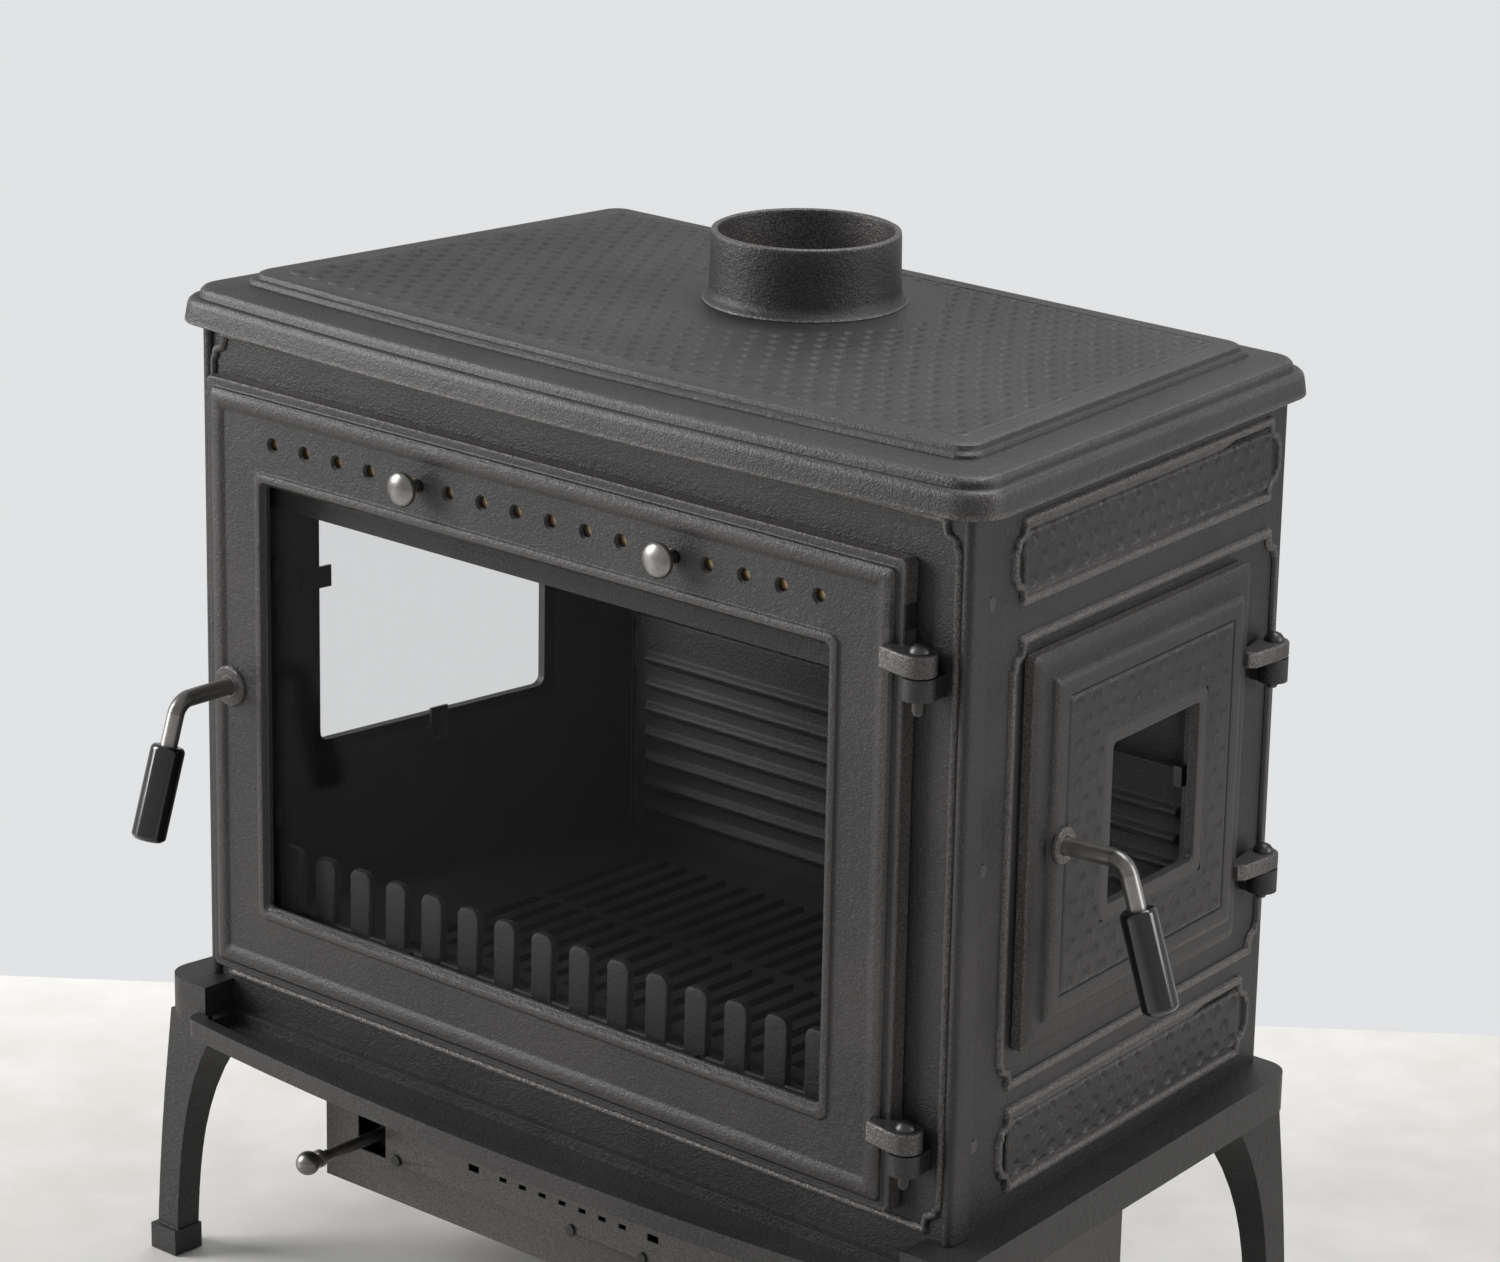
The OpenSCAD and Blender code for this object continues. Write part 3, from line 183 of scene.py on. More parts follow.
def gripMaterial():
    s = Shader("grip")
    haze = s.noise(60.0, 3.0)
    dust = s.noise(900.0, 1.0).step(0.62, 0.72)
    colour = s.mix(dust * 0.15, (0.006, 0.006, 0.007, 1), (0.06, 0.06, 0.06, 1))
    return s.finish({"Base Color": colour, "Roughness": 0.1 + 0.16 * haze},
                    {"Coat Weight": 0.5, "Coat Roughness": 0.06}, haze, 0.00004, 0.4)


def glassMaterial():
    s = Shader("glass")
    smoke = s.noise(5.0, 4.0, 0.6).step(0.35, 0.8)
    return s.finish({"Roughness": 0.03 + 0.08 * smoke},
                    {"Base Color": (0.02, 0.021, 0.021, 1), "IOR": 1.45, "Alpha": 0.05})


def ropeMaterial():
    s = Shader("rope")
    weave = s.node("ShaderNodeTexVoronoi", {}, {"Vector": s.place, "Scale": 450.0})
    knots = Wire(s, weave.outputs["Distance"])
    colour = s.mix(knots, (0.05, 0.05, 0.055, 1), (0.13, 0.13, 0.135, 1))
    return s.finish({"Base Color": colour}, {"Roughness": 0.9}, knots, 0.0006, 0.8)


materials = {
    "iron": castMaterial("castIron", castLook),
    "firebox_iron": castMaterial("sootyIron", sootLook),
    "sheet": castMaterial("sheetSteel", sheetLook),
    "steel": metalMaterial("darkSteel", (0.13, 0.126, 0.12, 1), (0.26, 0.25, 0.24, 1), 0.34),
    "slide": metalMaterial("heatTinted", (0.2, 0.15, 0.09, 1), (0.42, 0.32, 0.19, 1), 0.4),
    "hardware": metalMaterial("blackened", (0.03, 0.03, 0.03, 1), (0.07, 0.068, 0.066, 1), 0.42),
    "grip": gripMaterial(),
    "rope": ropeMaterial(),
    "glass": glassMaterial(),
}
materials["ironPlain"] = castMaterial("castIronPlain", dict(castLook, wear=0.0))
materials["sootPlain"] = castMaterial("sootyIronPlain", dict(sootLook, wear=0.0))
plainLook = {"iron": "ironPlain", "firebox_iron": "sootPlain"}   # for pieces with few faces
slotOf = {row["node"]: row["material_slot"] for row in frame["record"]["subparts"]}
bodyOf = {n: b for b, members in frame["record"]["behaviour"]["bodies"].items() for n in members}
print("materials made")


# helpers

def shade(bm, obj, smooth):
    for e in bm.edges:
        e.smooth = len(e.link_faces) == 2 and e.calc_face_angle(3.2) < math.radians(smooth)
    for f in bm.faces:
        f.smooth = True
    bm.to_mesh(obj.data)
    bm.free()
    weigh = obj.modifiers.new("normals", "WEIGHTED_NORMAL")
    weigh.keep_sharp = True


def keep(bm, name, slotName, body, nodesReplaced=(), smooth=32, turn=same, look=None):
    bm.transform(toRow @ turn)
    bmesh.ops.recalc_face_normals(bm, faces=bm.faces[:])
    obj = bpy.data.objects.new(name, bpy.data.meshes.new(name))
    bpy.context.scene.collection.objects.link(obj)
    obj.data.materials.append(materials[look or slotName])
    shade(bm, obj, smooth)
    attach(obj, body)
    if nodesReplaced:
        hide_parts(*nodesReplaced)
    return obj


def softened(nodeName, width, segments=2):   # a CAD piece with its sharp edges rounded
    bm = bmesh.new()
    bm.from_mesh(nodes[nodeName].data)
    bmesh.ops.remove_doubles(bm, verts=bm.verts, dist=1e-5)
    bmesh.ops.dissolve_limit(bm, angle_limit=math.radians(0.6), verts=bm.verts, edges=bm.edges)
    sharp = [e for e in bm.edges if len(e.link_faces) == 2 and e.calc_face_angle(0) > math.radians(32)]
    bmesh.ops.bevel(bm, geom=sharp, offset=width / 1000, offset_type="OFFSET", segments=segments,
                    affect="EDGES", profile=0.5, material=-1, clamp_overlap=True)
    bmesh.ops.triangulate(bm, faces=[f for f in bm.faces if len(f.verts) > 4])
    bm.transform(toRow.inverted())
    keep(bm, nodeName + "_look", slotOf[nodeName], bodyOf[nodeName], (nodeName,), 38,
         look=plainLook.get(slotOf[nodeName]))


def loft(bm, rings, closed=False):   # rings of equal counts: each is extruded and moved to the next
    verts = [bm.verts.new(p) for p in rings[0]]
    edges = [bm.edges.new((v, verts[(i + 1) % len(verts)])) for i, v in enumerate(verts)]
    if not closed:
        bmesh.ops.contextual_create(bm, geom=edges)
    for points in rings[1:] + (rings[:1] if closed else []):
        made = bmesh.ops.extrude_edge_only(bm, edges=edges)["geom"]
        fresh = {g for g in made if isinstance(g, bmesh.types.BMVert)}
        verts = [next(e.other_vert(v) for e in v.link_edges if e.other_vert(v) in fresh) for v in verts]
        for v, p in zip(verts, points):
            v.co = p
        edges = [g for g in made if isinstance(g, bmesh.types.BMEdge) and set(g.verts) <= fresh]
    if closed:
        bmesh.ops.remove_doubles(bm, verts=bm.verts, dist=1e-4)
    else:
        bmesh.ops.contextual_create(bm, geom=edges)


def fillet(a, p, b, r, n=8):   # the arc that rounds the corner p between a and b
    u, v = (a - p).normalized(), (b - p).normalized()
    half = math.acos(max(-1, min(1, u.dot(v)))) / 2
    c = p + (u + v).normalized() * (r / math.sin(half))
    s, e = p + u * (r / math.tan(half)) - c, p + v * (r / math.tan(half)) - c
    start = math.atan2(s.y, s.x)
    turn = math.atan2(e.y, e.x) - start
    turn = turn - 2 * math.pi if turn > math.pi else turn + 2 * math.pi if turn < -math.pi else turn
    return [c + r * Vector((math.cos(start + turn * i / n), math.sin(start + turn * i / n)))
            for i in range(n + 1)]


def prism(bm, outline, along):   # a face pushed along a vector; gives the corners of both ends
    low = [bm.verts.new(p) for p in outline]
    face = bm.faces.new(low)
    made = bmesh.ops.extrude_face_region(bm, geom=[face])["geom"]
    high = [g for g in made if isinstance(g, bmesh.types.BMVert)]
    bmesh.ops.translate(bm, vec=along, verts=high)
    return low + high


def roundedRing(x0, x1, z0, z1, r, y, n=5):
    corners = [Vector(p) for p in ((x0, z0), (x1, z0), (x1, z1), (x0, z1))]
    return [(p.x, p.y, y) for i in range(4)
            for p in fillet(corners[i - 1], corners[i], corners[(i + 1) % 4], max(r, 0.6), n)]


def turned(bm, profile, centre, axis=(0, 0, 1), steps=40):   # profile as (radius, height)
    side = Vector(axis).orthogonal().normalized()
    up = Vector(axis).normalized()
    verts = [bm.verts.new(Vector(centre) + side * r + up * h) for r, h in profile]
    edges = [bm.edges.new(pair) for pair in zip(verts, verts[1:])]
    bmesh.ops.spin(bm, geom=verts + edges, cent=centre, axis=axis, angle=2 * math.pi, steps=steps,
                   use_merge=True)
    bmesh.ops.remove_doubles(bm, verts=bm.verts, dist=1e-4)


def dented(bm, x0, x1, y0, y1, height, look, keepOut=(), warp=None):
    # a sheet at the given height with staggered dents, its border sunk into the casting by the skin
    rimWide = 0.45   # the raised lip round a dent, as a share of the dent's half-width
    nx, ny = int((x1 - x0) / look["cell"]), int((y1 - y0) / look["cell"])
    made = bmesh.ops.create_grid(bm, x_segments=nx, y_segments=ny, size=0.5)["verts"]
    rows = round((y1 - y0) / look["rowPitch"])
    columns = round((x1 - x0) / look["pitch"])
    px, py = (x1 - x0) / columns, (y1 - y0) / rows
    for v in made:
        u, w = v.co.x + 0.5, v.co.y + 0.5
        x, y = u * (x1 - x0), w * (y1 - y0)
        row = min(rows - 1, int(y / py))
        off = px / 2 if row % 2 else 0
        inRow = 0 < (x - off) and (x - off) < px * (columns - (1 if row % 2 else 0))
        dx = ((x - off) % px - px / 2) / (look["wide"] / 2)
        dy = (y % py - py / 2) / (look["high"] / 2)
        d = math.sqrt(dx * dx + dy * dy)
        z = 0.0
        spot = warp(u, w) if warp else Vector((x0 + x, y0 + y, 0))
        if inRow and d < 1 + rimWide and not any(k(spot) for k in keepOut):
            lip = look["rim"] * math.sin((d - 1) / rimWide * math.pi)
            z = -look["deep"] * (1 - d * d) if d < 1 else lip
        onEdge = min(u, 1 - u) < 0.4 / nx or min(w, 1 - w) < 0.4 / ny
        v.co = (spot.x, spot.y, height + (-look["skin"] if onEdge else z))
    return made


print("helpers ready")

# how far the edges of the plainer pieces are rounded, in mm
softWidths = {"base_frame": 4, "ash_shelf": 2.5, "leg_front_left": 3, "leg_front_right": 3,
              "leg_rear_left": 3, "leg_rear_right": 3, "log_guard": 2.2, "grate": 2, "fire_back": 2.5,
              "back_plate": 1, "ash_drawer_front": 0.6, "front_handle_grip": 2, "side_handle_grip": 2,
              "baffle": 1.5, "drawer_rivets": 0.5}
for nodeName, width in softWidths.items():
    softened(nodeName, width)
print("plain pieces softened")
for nodeName, obj in nodes.items():
    obj.data.materials.clear()
    obj.data.materials.append(materials[plainLook.get(slotOf[nodeName], slotOf[nodeName])])


# lid and collar

lidShape = {"out": 24, "frontY": -241, "backY": 228, "bow": 19, "bowFade": 0.14, "corner": 30,
            "cornerFade": 0.35, "cornerMin": 10, "fieldInset": 61, "fieldHalf": 370, "roundFlue": 112}
lidDents = {"cell": 2.4, "pitch": 24.0, "rowPitch": 15.0, "wide": 14.0, "high": 9.5, "deep": 1.7,
            "rim": 0.3, "skin": 2.1}


def lidRing(inset, z):   # the lid's outline, drawn in by the inset, with its bowed front
    out = lidShape["out"] - inset
    y0, y1 = lidShape["frontY"] + inset, lidShape["backY"] - inset
    bow = lidShape["bow"] - inset * lidShape["bowFade"]
    r = max(lidShape["corner"] - inset * lidShape["cornerFade"], lidShape["cornerMin"])
    fl, fr = Vector((-sideX(y0, out), y0)), Vector((sideX(y0, out), y0))
    br, bl = Vector((sideX(y1, out), y1)), Vector((-sideX(y1, out), y1))
    front = [Vector((fr.x * t, y0 - bow * (1 - t * t))) for t in [2 * i / 14 - 1 for i in range(1, 14)]]
    ring = (fillet(bl, fl, front[0], r) + front + fillet(front[-1], fr, br, r)
            + fillet(fr, br, bl, r) + fillet(br, bl, fl, r))
    return [(p.x, p.y, z) for p in ring]


def buildLid():
    # (inset, height) from the rim's underside to the dented field
    steps = [(10, 803), (0.6, 803), (0, 804), (0.4, 808), (1.6, 817), (2.6, 820.5), (4.6, 822.6),
             (7.4, 823.2), (8.4, 823.4), (8.9, 825), (9.6, 828.2), (11.2, 830.2), (14, 831),
             (26, 832), (36.5, 833.2), (37.6, 834), (38.1, 836.2), (39.6, 837.8), (42.2, 838.2),
             (43, 839.2), (44, 841.6), (46, 842.7), (49, 843), (60, 843), (62, 841)]
    bm = bmesh.new()
    loft(bm, [lidRing(i, z) for i, z in steps])
    keep(bm, "lid_look", "iron", "stove_body", ("lid",))
    field = bmesh.new()
    inset = lidShape["fieldInset"]
    y0, y1 = lidShape["frontY"] + inset, lidShape["backY"] - inset
    bow = lidShape["bow"] - inset * lidShape["bowFade"]

    def warp(u, w):   # the field widens to the front and follows its bow
        t = 2 * u - 1
        front = y0 - bow * (1 - t * t)
        y = front + (y1 - front) * w
        return Vector((sideX(y, lidShape["out"] - inset) * t, y, 0))

    dented(field, -lidShape["fieldHalf"], lidShape["fieldHalf"], y0 - bow / 2, y1, stove["topZ"], lidDents,
           [lambda p: math.hypot(p.x, p.y - stove["flueY"]) < lidShape["roundFlue"]], warp)
    keep(field, "lid_dents", "iron", "stove_body", smooth=60)


collarTabs = {"angles": (30, 150, 270), "radius": 61, "wide": 20, "thick": 8}


def buildCollar():
    bm = bmesh.new()
    turned(bm, [(69, 843), (80.5, 843), (81, 843.8), (80, 845.4), (77.6, 847.4), (76, 850), (75.4, 854),
                (74.9, 875), (74.6, 896), (74.2, 898.2), (72.6, 899), (70.6, 899), (69.4, 898.2),
                (69, 896), (69, 843)], (0, stove["flueY"], 0), steps=96)
    wide, thick = collarTabs["wide"], collarTabs["thick"]
    for angle in collarTabs["angles"]:   # bolting tabs inside the foot of the collar
        made = bmesh.ops.create_cube(bm, size=1)["verts"]
        place = (Matrix.Translation((0, stove["flueY"], stove["topZ"] + thick / 2))
                 @ Matrix.Rotation(math.radians(angle), 4, "Z")
                 @ Matrix.Translation((collarTabs["radius"], 0, 0)) @ Matrix.Diagonal((wide, wide, thick, 1)))
        bmesh.ops.transform(bm, matrix=place, verts=made)
    keep(bm, "flue_collar_look", "iron", "stove_body", ("flue_collar",), 40)


buildLid()
buildCollar()
print("lid and collar built")


# doors

# x and z bound the leaf and wx and wz its window; the ears stand at heights on the hinge's (along, out) axis
frontDoor = {"x0": -380, "x1": 345, "z0": 263, "z1": 763, "wx0": -311.5, "wx1": 276.5, "wz0": 330,
             "wz1": 685, "lap": 13, "airZ": 720, "slots": (-150.5, 115.5), "slotEnd": 5.3, "slotRun": 12,
             "holePitch": 36, "holeRows": ((-301.5, 4), (-107.5, 6), (158.5, 4)), "holeRadius": 4.6,
             "holeCell": (9.5, 10),
             "hinge": (363, 240), "ears": (320, 683), "earRadius": 13, "earHigh": 17, "earReach": 36,
             "earBase": 238, "handle": (-353, 510, 236)}
sideDoor = {"x0": 76, "x1": 384, "z0": 376, "z1": 681, "wx0": 176, "wx1": 300, "wz0": 465.5,
            "wz1": 591.5, "lap": 10, "hinge": (418, 14.3), "ears": (425, 598), "earRadius": 12,
            "earHigh": 13, "earReach": 42, "earBase": 16, "handle": (108, 532, 18.6),
            "plainHalf": 78, "gapHalf": (73, 74), "dentInset": 36.8, "dentOut": 19.0}
airHoles = [start + frontDoor["holePitch"] * i
            for start, count in frontDoor["holeRows"] for i in range(count)]
sideDents = {"cell": 1.9, "pitch": 23.7, "rowPitch": 15.3, "wide": 11.5, "high": 10.5, "deep": 1.9,
             "rim": 0.55, "skin": 2.1}


def doorRings(d, outer, lip, back, rebate):   # outer is (inset, out), lip is (widening, out)
    rings = [roundedRing(d["x0"] + i, d["x1"] - i, d["z0"] + i, d["z1"] - i, 5 - i * 0.1, out)
             for i, out in outer]
    rings += [roundedRing(d["wx0"] - e, d["wx1"] + e, d["wz0"] - e, d["wz1"] + e, 4 + e * 0.4, out)
              for e, out in lip]
    return rings + [roundedRing(d["wx0"] - d["lap"], d["wx1"] + d["lap"], d["wz0"] - d["lap"],
                                d["wz1"] + d["lap"], 6, out) for out in (rebate, back)]


def addEar(bm, d, z):   # a slab with a round end about the hinge's axis
    axisX, axisOut = d["hinge"]
    r, reach, base = d["earRadius"], d["earReach"], d["earBase"]
    points = [Vector((axisX - reach, base)), Vector((axisX - reach + 5, axisOut + r - 5)),
              Vector((axisX - 9, axisOut + r - 0.6))]
    points += [Vector((axisX + r * math.cos(a), axisOut + r * math.sin(a)))
               for a in [math.radians(90 - 12 * i) for i in range(16)]]
    points += [Vector((axisX - reach, axisOut - r + 5))]
    corners = prism(bm, [(p.x, z, p.y) for p in points], (0, d["earHigh"], 0))
    rims = {e for v in corners for e in v.link_edges if abs(e.verts[0].co.y - e.verts[1].co.y) < 1}
    bmesh.ops.bevel(bm, geom=list(rims), offset=2, segments=3, affect="EDGES", profile=0.5, material=-1)


def cutHoles(obj, cutters, turn):   # takes each cutter out of the door in its turn
    obj.modifiers.clear()
    for bm in cutters:
        bm.transform(toRow @ turn)
        bmesh.ops.recalc_face_normals(bm, faces=bm.faces[:])
        mesh = bpy.data.meshes.new("cut")
        bm.to_mesh(mesh)
        bm.free()
        tool = bpy.data.objects.new("cut", mesh)
        bpy.context.scene.collection.objects.link(tool)
        cut = obj.modifiers.new("cut", "BOOLEAN")
        cut.object = tool
        cut.operation = "DIFFERENCE"
        cut.solver = "EXACT"
        bpy.context.view_layer.update()
        result = bpy.data.meshes.new_from_object(obj.evaluated_get(bpy.context.evaluated_depsgraph_get()))
        obj.modifiers.clear()
        obj.data = result
        bpy.data.objects.remove(tool)
    obj.data.materials.append(materials["ironPlain"])
    whole = bmesh.new()
    whole.from_mesh(obj.data)
    for f in whole.faces:   # no worn edges in the row of holes
        above = f.calc_center_median().z * 1000 - frontDoor["airZ"]
        f.material_index = int(abs(above) < frontDoor["holeCell"][1] + 0.2)
    shade(whole, obj, 25)


def sliced(bm, place, normal):
    bmesh.ops.bisect_plane(bm, geom=bm.verts[:] + bm.edges[:] + bm.faces[:], plane_co=place, plane_no=normal)


def buildFrontDoor():
    d = frontDoor
    outer = [(0, 223), (0, 234), (0.4, 235.2), (1.4, 236), (6.4, 236), (7.4, 236.6), (8.2, 238.4),
             (10.4, 240.2), (14, 241), (18, 240.9), (21, 239.9), (22.6, 238.7), (24.4, 238.3)]
    lip = [(12, 238.3), (10.8, 238.8), (9.6, 240.2), (7.6, 240.9), (5.2, 241), (3.6, 240.6), (1.2, 237.6),
           (0, 236), (0, 233)]
    bm = bmesh.new()
    loft(bm, doorRings(d, outer, lip, 223, 233), closed=True)
    cellX, cellZ = d["holeCell"]
    for x in airHoles:   # short cells round the holes keep the shading even
        for side in (-cellX, cellX):
            sliced(bm, (x + side, 0, 0), (1, 0, 0))
    for side in (-cellZ, cellZ):
        sliced(bm, (0, d["airZ"] + side, 0), (0, 1, 0))
    door = keep(bm, "front_door_look", "iron", "front_door_leaf", ("front_door",), 34, frontSide)
    drills, countersinks = bmesh.new(), bmesh.new()
    for x in airHoles:
        bmesh.ops.create_cone(drills, cap_ends=True, segments=24, radius1=d["holeRadius"],
                              radius2=d["holeRadius"], depth=40,
                              matrix=Matrix.Translation((x, d["airZ"], 232)))
        bmesh.ops.create_cone(countersinks, cap_ends=True, segments=24, radius1=4.4, radius2=7.8, depth=4,
                              matrix=Matrix.Translation((x, d["airZ"], 238)))
    slots = bmesh.new()
    for x in d["slots"]:
        turns = [math.radians(a * 15 - 90) for a in range(24)]
        ends = [(x + d["slotRun"] * (i < 12) + d["slotEnd"] * math.cos(a),
                 d["airZ"] + d["slotEnd"] * math.sin(a), 215) for i, a in enumerate(turns)]
        prism(slots, ends, (0, 0, 40))
    channel = bmesh.new()   # the groove behind the face that the air slide runs in
    bmesh.ops.create_cube(channel, size=1, matrix=Matrix.Translation((-17.5, d["airZ"], 227))
                          @ Matrix.Diagonal((648, 27, 12, 1)))
    cutHoles(door, (channel, drills, countersinks, slots), frontSide)
    ears = bmesh.new()
    for z in d["ears"]:
        addEar(ears, d, z)
    turned(ears, [(7.5, 0), (17, 0), (17, 3.6), (16.2, 5), (14.6, 5.6), (10, 5.8), (7.5, 5.8), (7.5, 0)],
           d["handle"], steps=36)
    keep(ears, "front_door_ears", "iron", "front_door_leaf", turn=frontSide, smooth=40)


def buildSideDoor():
    d = sideDoor
    outer = [(0, 1), (0, 8), (0.5, 9.4), (1.8, 10.4), (4.5, 11.8), (8, 12.8), (12, 13.1), (18, 13.1),
             (19, 13.8), (20, 16), (22.6, 18.2), (26, 19), (33, 19), (35.4, 18.6), (36.4, 17.3)]
    lip = [(13, 17.3), (12, 18.6), (10.6, 19), (2.2, 19), (0.6, 18.4), (0, 17.2), (0, 11)]
    bm = bmesh.new()
    loft(bm, doorRings(d, outer, lip, 1, 11), closed=True)
    keep(bm, "side_door_look", "iron", "side_door_leaf", ("side_door",), 34, rightSide)
    midX, midZ = (d["wx0"] + d["wx1"]) / 2, (d["wz0"] + d["wz1"]) / 2

    def around(p, halfX, halfZ):   # whether a point is in the plain border of the window
        return abs(p.x - midX) < halfX and abs(p.y - midZ) < halfZ

    field = bmesh.new()
    dented(field, d["x0"] + d["dentInset"], d["x1"] - d["dentInset"], d["z0"] + d["dentInset"],
           d["z1"] - d["dentInset"], d["dentOut"], dict(sideDents, skin=1.2, deep=1.5, rim=0.5),
           [lambda p: around(p, d["plainHalf"], d["plainHalf"])])
    gap = [f for f in field.faces if around(f.calc_center_median(), *d["gapHalf"])]
    bmesh.ops.delete(field, geom=gap, context="FACES")
    keep(field, "side_door_dents", "iron", "side_door_leaf", turn=rightSide, smooth=60)
    ears = bmesh.new()
    for z in d["ears"]:
        addEar(ears, d, z)
    turned(ears, [(7.5, 0), (14, 0), (14, 2.6), (13, 3.6), (7.5, 3.8), (7.5, 0)], d["handle"], steps=32)
    keep(ears, "side_door_ears", "iron", "side_door_leaf", turn=rightSide, smooth=40)


buildFrontDoor()
buildSideDoor()
print("doors built")


# cast panels on the plates

panels = {
    "upper": {"x0": 55, "x1": 437, "z0": 718, "z1": 787, "dents": True},
    "middle": {"x0": 57, "x1": 441, "z0": 345, "z1": 697, "dents": False},
    "lower": {"x0": 60, "x1": 430, "z0": 262, "z1": 332, "dents": True},
}
panelField = {"insetX": 15, "insetZ": 11.5, "out": 2.3}


def notched(x0, x1, z0, z1, a=15, b=24):   # corners cut back in a small ogee
    corner = [(0, b), (2.5, b - 3), (3, b - 7), (6, b - 9.5),
              (a - 4, b - 12), (a - 2.5, b - 17), (a - 3, b - 21), (a, b - 24)]
    ring = [(x0 + p, z0 + q) for p, q in corner]
    ring += [(x1 - p, z0 + q) for p, q in reversed(corner)]
    ring += [(x1 - p, z1 - q) for p, q in corner]
    ring += [(x0 + p, z1 - q) for p, q in reversed(corner)]
    return ring


def beadFrame(bm, outline, base, width=8.5, high=3.6):   # a raised bead along an outline
    face = bm.faces.new([bm.verts.new((x, z, base)) for x, z in outline])
    face.normal_update()
    if face.normal.z < 0:
        face.normal_flip()
    for thick, rise in ((0.2, 0.6), (1.1, high * 0.6), (1.5, high * 0.3), (width - 5.8, 0),
                        (1.5, -high * 0.3), (1.1, -high * 0.5)):
        bm.normal_update()
        bmesh.ops.inset_region(bm, faces=[face], thickness=thick, depth=rise, use_even_offset=True,
                               use_boundary=True)
    return face


def buildPlatePanels(name, turn):
    bm = bmesh.new()
    for key, p in panels.items():
        face = beadFrame(bm, notched(p["x0"], p["x1"], p["z0"], p["z1"]), -0.4)
        if key == "middle":
            bm.faces.remove(face)
    keep(bm, name + "_beads", "iron", "stove_body", smooth=50, turn=turn)
    field = bmesh.new()
    for p in panels.values():
        if p["dents"]:
            one = bmesh.new()
            insetX, insetZ = panelField["insetX"], panelField["insetZ"]
            dented(one, p["x0"] + insetX, p["x1"] - insetX, p["z0"] + insetZ, p["z1"] - insetZ,
                   panelField["out"], sideDents)
            mesh = bpy.data.meshes.new("one")
            one.to_mesh(mesh)
            one.free()
            field.from_mesh(mesh)
            bpy.data.meshes.remove(mesh)
    keep(field, name + "_dents", "iron", "stove_body", turn=turn, smooth=60)


frontBead = {"x0": -389, "x1": 385, "z0": 250, "z1": 799, "width": 7.5, "high": 2.6}
cornerColumn = {"low": 248.6, "high": 553.8,
                "plan": [(386.4, -221), (386.6, -224), (388.4, -225.8), (391, -226.3), (393.6, -225.6),
                         (395.4, -223.6), (396, -220.8), (395.6, -214), (394.4, -203), (393.2, -200.6),
                         (390, -200.4), (386.8, -212)]}


def buildCorners():
    beads = bmesh.new()
    outline = notched(frontBead["x0"], frontBead["x1"], frontBead["z0"], frontBead["z1"])
    face = beadFrame(beads, outline, -stove["frontY"], frontBead["width"], frontBead["high"])
    beads.faces.remove(face)
    keep(beads, "front_plate_beads", "iron", "stove_body", turn=frontSide, smooth=50)
    column = bmesh.new()
    for mirrorX in (1, -1):
        foot = [(x * mirrorX, y, cornerColumn["low"]) for x, y in cornerColumn["plan"]]
        prism(column, foot, (0, 0, cornerColumn["high"]))
    keep(column, "corner_columns", "iron", "stove_body", smooth=50, look="ironPlain")


buildPlatePanels("right_plate", rightSide)
buildPlatePanels("left_plate", leftSide)
buildCorners()
print("plates dressed")


# knobs and hinge pins

knobPlaces = (-141.5, 124.5)


def buildKnobs():
    bm = bmesh.new()
    for x in knobPlaces:
        turned(bm, [(0, 260), (6, 259.8), (11, 258.4), (13.4, 256.2), (14, 254), (13.4, 251.8), (11.4, 250.6),
                    (6.4, 250), (5, 249), (5, 233), (0, 233)], (x, frontDoor["airZ"], 0), steps=36)
    keep(bm, "air_slide_knobs_look", "steel", "air_shutter", ("air_slide_knobs",), turn=frontSide,
         smooth=50)


def buildPins(name, d, tail, turn, r=5):   # a pin with a domed head on each ear
    bm = bmesh.new()
    x, out = d["hinge"]
    for z in d["ears"]:
        turned(bm, [(0, 6.4), (3, 6.2), (5.6, 4.8), (r + 2.6, 2.2), (r + 2.8, 0.4), (r, 0.3), (r, -tail + 3),
                    (r - 1.4, -tail), (0, -tail)], (x, z + d["earHigh"], out), (0, 1, 0), steps=28)
    keep(bm, name + "_look", "hardware", "stove_body", (name,), turn=turn, smooth=50)


buildKnobs()
buildPins("front_hinge_pins", frontDoor, 46.5, frontSide)
buildPins("side_hinge_pins", sideDoor, 38, rightSide)
print("knobs and pins built")


# floor, lights and camera, in metres

floorPlan = {"along": (0.787, 0.617, 0), "away": (-0.617, 0.787, 0), "wallFoot": (-0.4698, 0.5514, -0.0005),
             "halfWide": 14, "deep": 18}


def buildStage():   # the floor ends where the wall begins; the world's colour stands for the wall
    bm = bmesh.new()
    along, away, edge = (Vector(floorPlan[k]) for k in ("along", "away", "wallFoot"))
    wide, deep = floorPlan["halfWide"], floorPlan["deep"]
    corners = [edge + along * wide, edge - along * wide, edge - along * wide - away * deep,
               edge + along * wide - away * deep]
    bm.faces.new([bm.verts.new(c) for c in corners])
    bmesh.ops.recalc_face_normals(bm, faces=bm.faces[:])
    mesh = bpy.data.meshes.new("floor")
    bm.to_mesh(mesh)
    bm.free()
    floor = bpy.data.objects.new("floor", mesh)
    bpy.context.scene.collection.objects.link(floor)
    s = Shader("paleFloor")
    cloud = s.noise(2.2, 5.0, 0.6)
    fine = s.noise(14.0, 4.0, 0.6)
    tone = (cloud * 0.6 + fine * 0.4).step(0.35, 0.68)
    colour = s.mix(tone, (0.62, 0.605, 0.57, 1), (0.73, 0.715, 0.69, 1))
    mesh.materials.append(s.finish({"Base Color": colour}, {"Roughness": 0.5}))


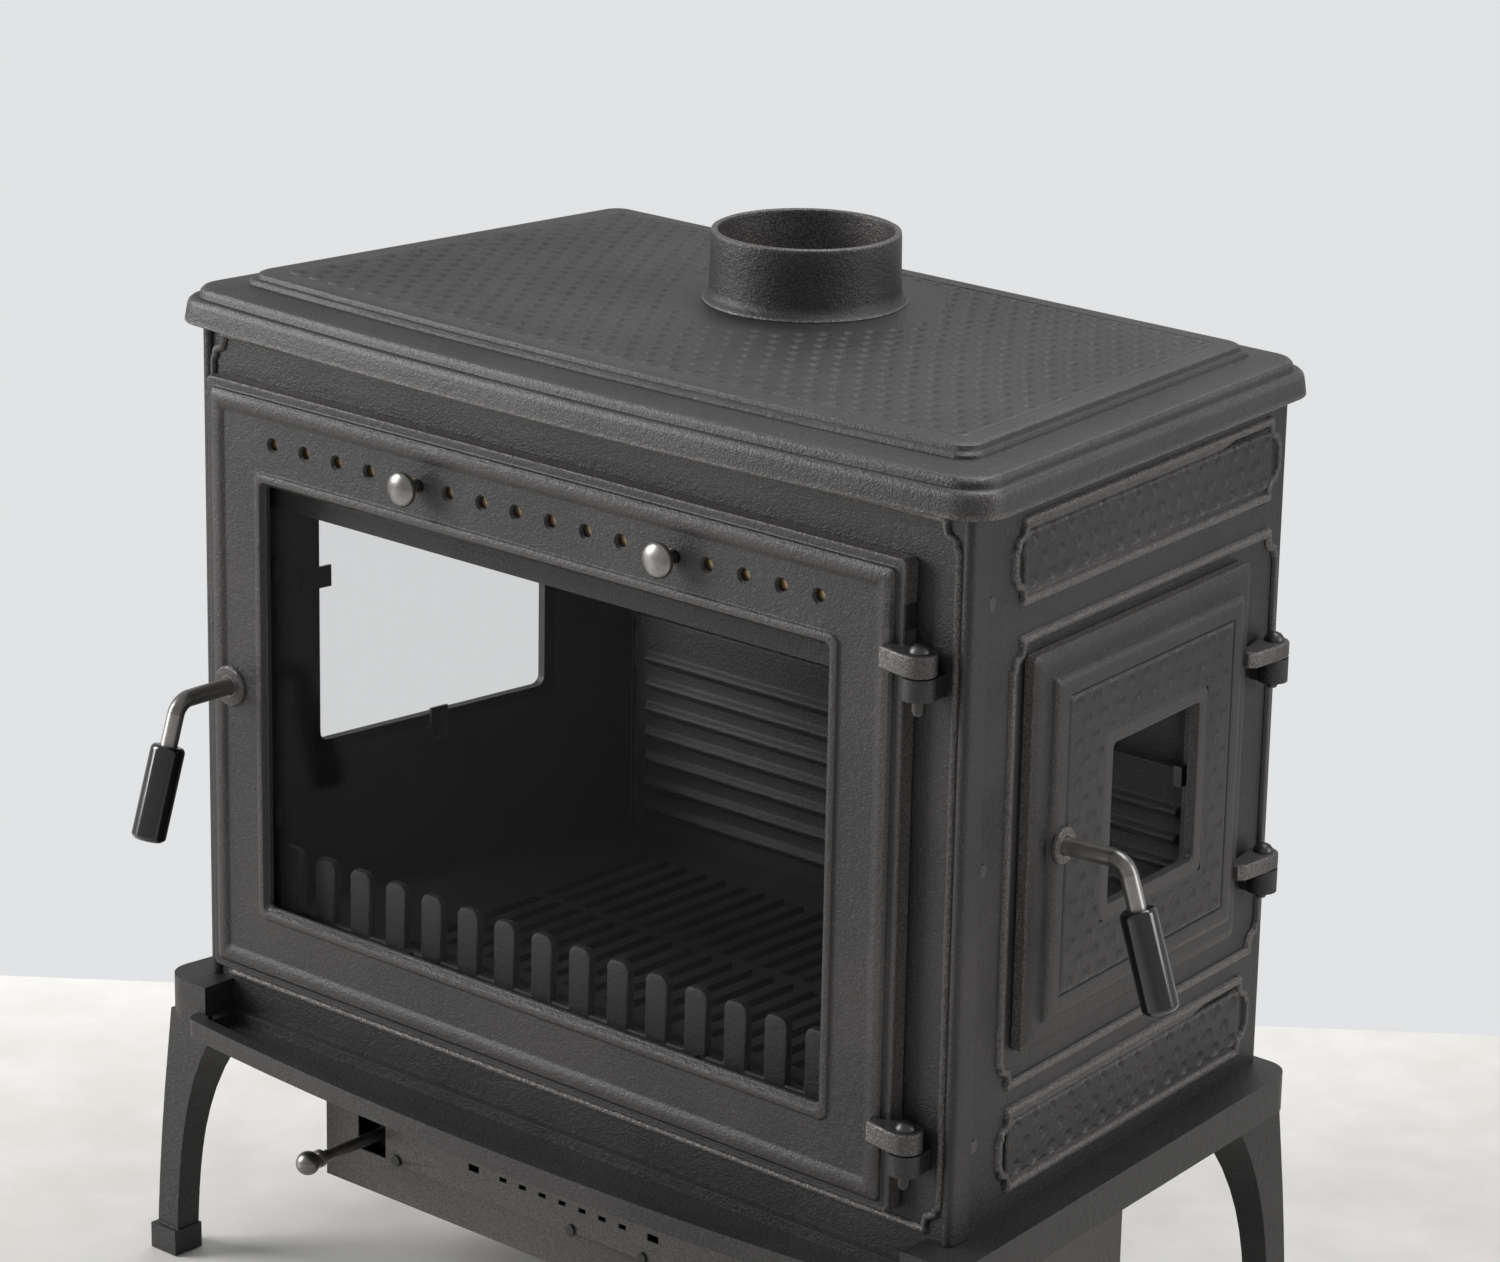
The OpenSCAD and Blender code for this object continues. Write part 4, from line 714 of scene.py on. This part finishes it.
def addLight(name, spot, target, size, power):
    data = bpy.data.lights.new(name, "AREA")
    data.shape = "RECTANGLE"
    data.size, data.size_y = size
    data.energy = power
    light = bpy.data.objects.new(name, data)
    light.location = spot
    light.rotation_euler = (Vector(target) - Vector(spot)).to_track_quat("-Z", "Y").to_euler()
    bpy.context.scene.collection.objects.link(light)


viewLook = {"lens": 120.717, "sensor": 36, "place": (2.498474, -2.852697, 1.773963),
            "right": (0.74731685, 0.66421141, 0.01845885), "up": (-0.21250364, 0.21258642, 0.95375532),
            "back": (0.62957107, -0.71667999, 0.30001676)}
roomLight = {"colour": (0.755, 0.765, 0.775, 1), "strength": 0.6}


def buildView():
    scene = bpy.context.scene
    scene.view_settings.view_transform = "Standard"
    world = bpy.data.worlds.new("studio")
    world.use_nodes = True
    backdrop = world.node_tree.nodes["Background"]
    backdrop.inputs[0].default_value = roomLight["colour"]
    seen = world.node_tree.nodes.new("ShaderNodeLightPath")
    level = world.node_tree.nodes.new("ShaderNodeMapRange")
    level.inputs[3].default_value = roomLight["strength"]   # as light; it is seen at full strength
    world.node_tree.links.new(seen.outputs["Is Camera Ray"], level.inputs[0])
    world.node_tree.links.new(level.outputs[0], backdrop.inputs[1])
    scene.world = world
    addLight("key", (-2.9, -2.1, 1.9), (0, 0, 0.5), (1.6, 2.4), 150)
    addLight("top", (0.2, 1.0, 3.2), (0, 0, 0.8), (2.5, 1.2), 60)
    addLight("fill", (3.0, 1.6, 1.6), (0, 0, 0.5), (1.2, 1.8), 40)
    data = bpy.data.cameras.new("view")
    data.lens = viewLook["lens"]
    data.sensor_width = viewLook["sensor"]
    data.clip_end = 60
    camera = bpy.data.objects.new("view", data)
    turn = Matrix([viewLook[k] for k in ("right", "up", "back")]).transposed().to_4x4()
    place = Vector(viewLook["place"]) + Vector((shiftX, shiftY, 0))
    camera.matrix_world = Matrix.Translation(place) @ turn
    scene.collection.objects.link(camera)
    scene.camera = camera


buildStage()
buildView()
print("stage and camera set")
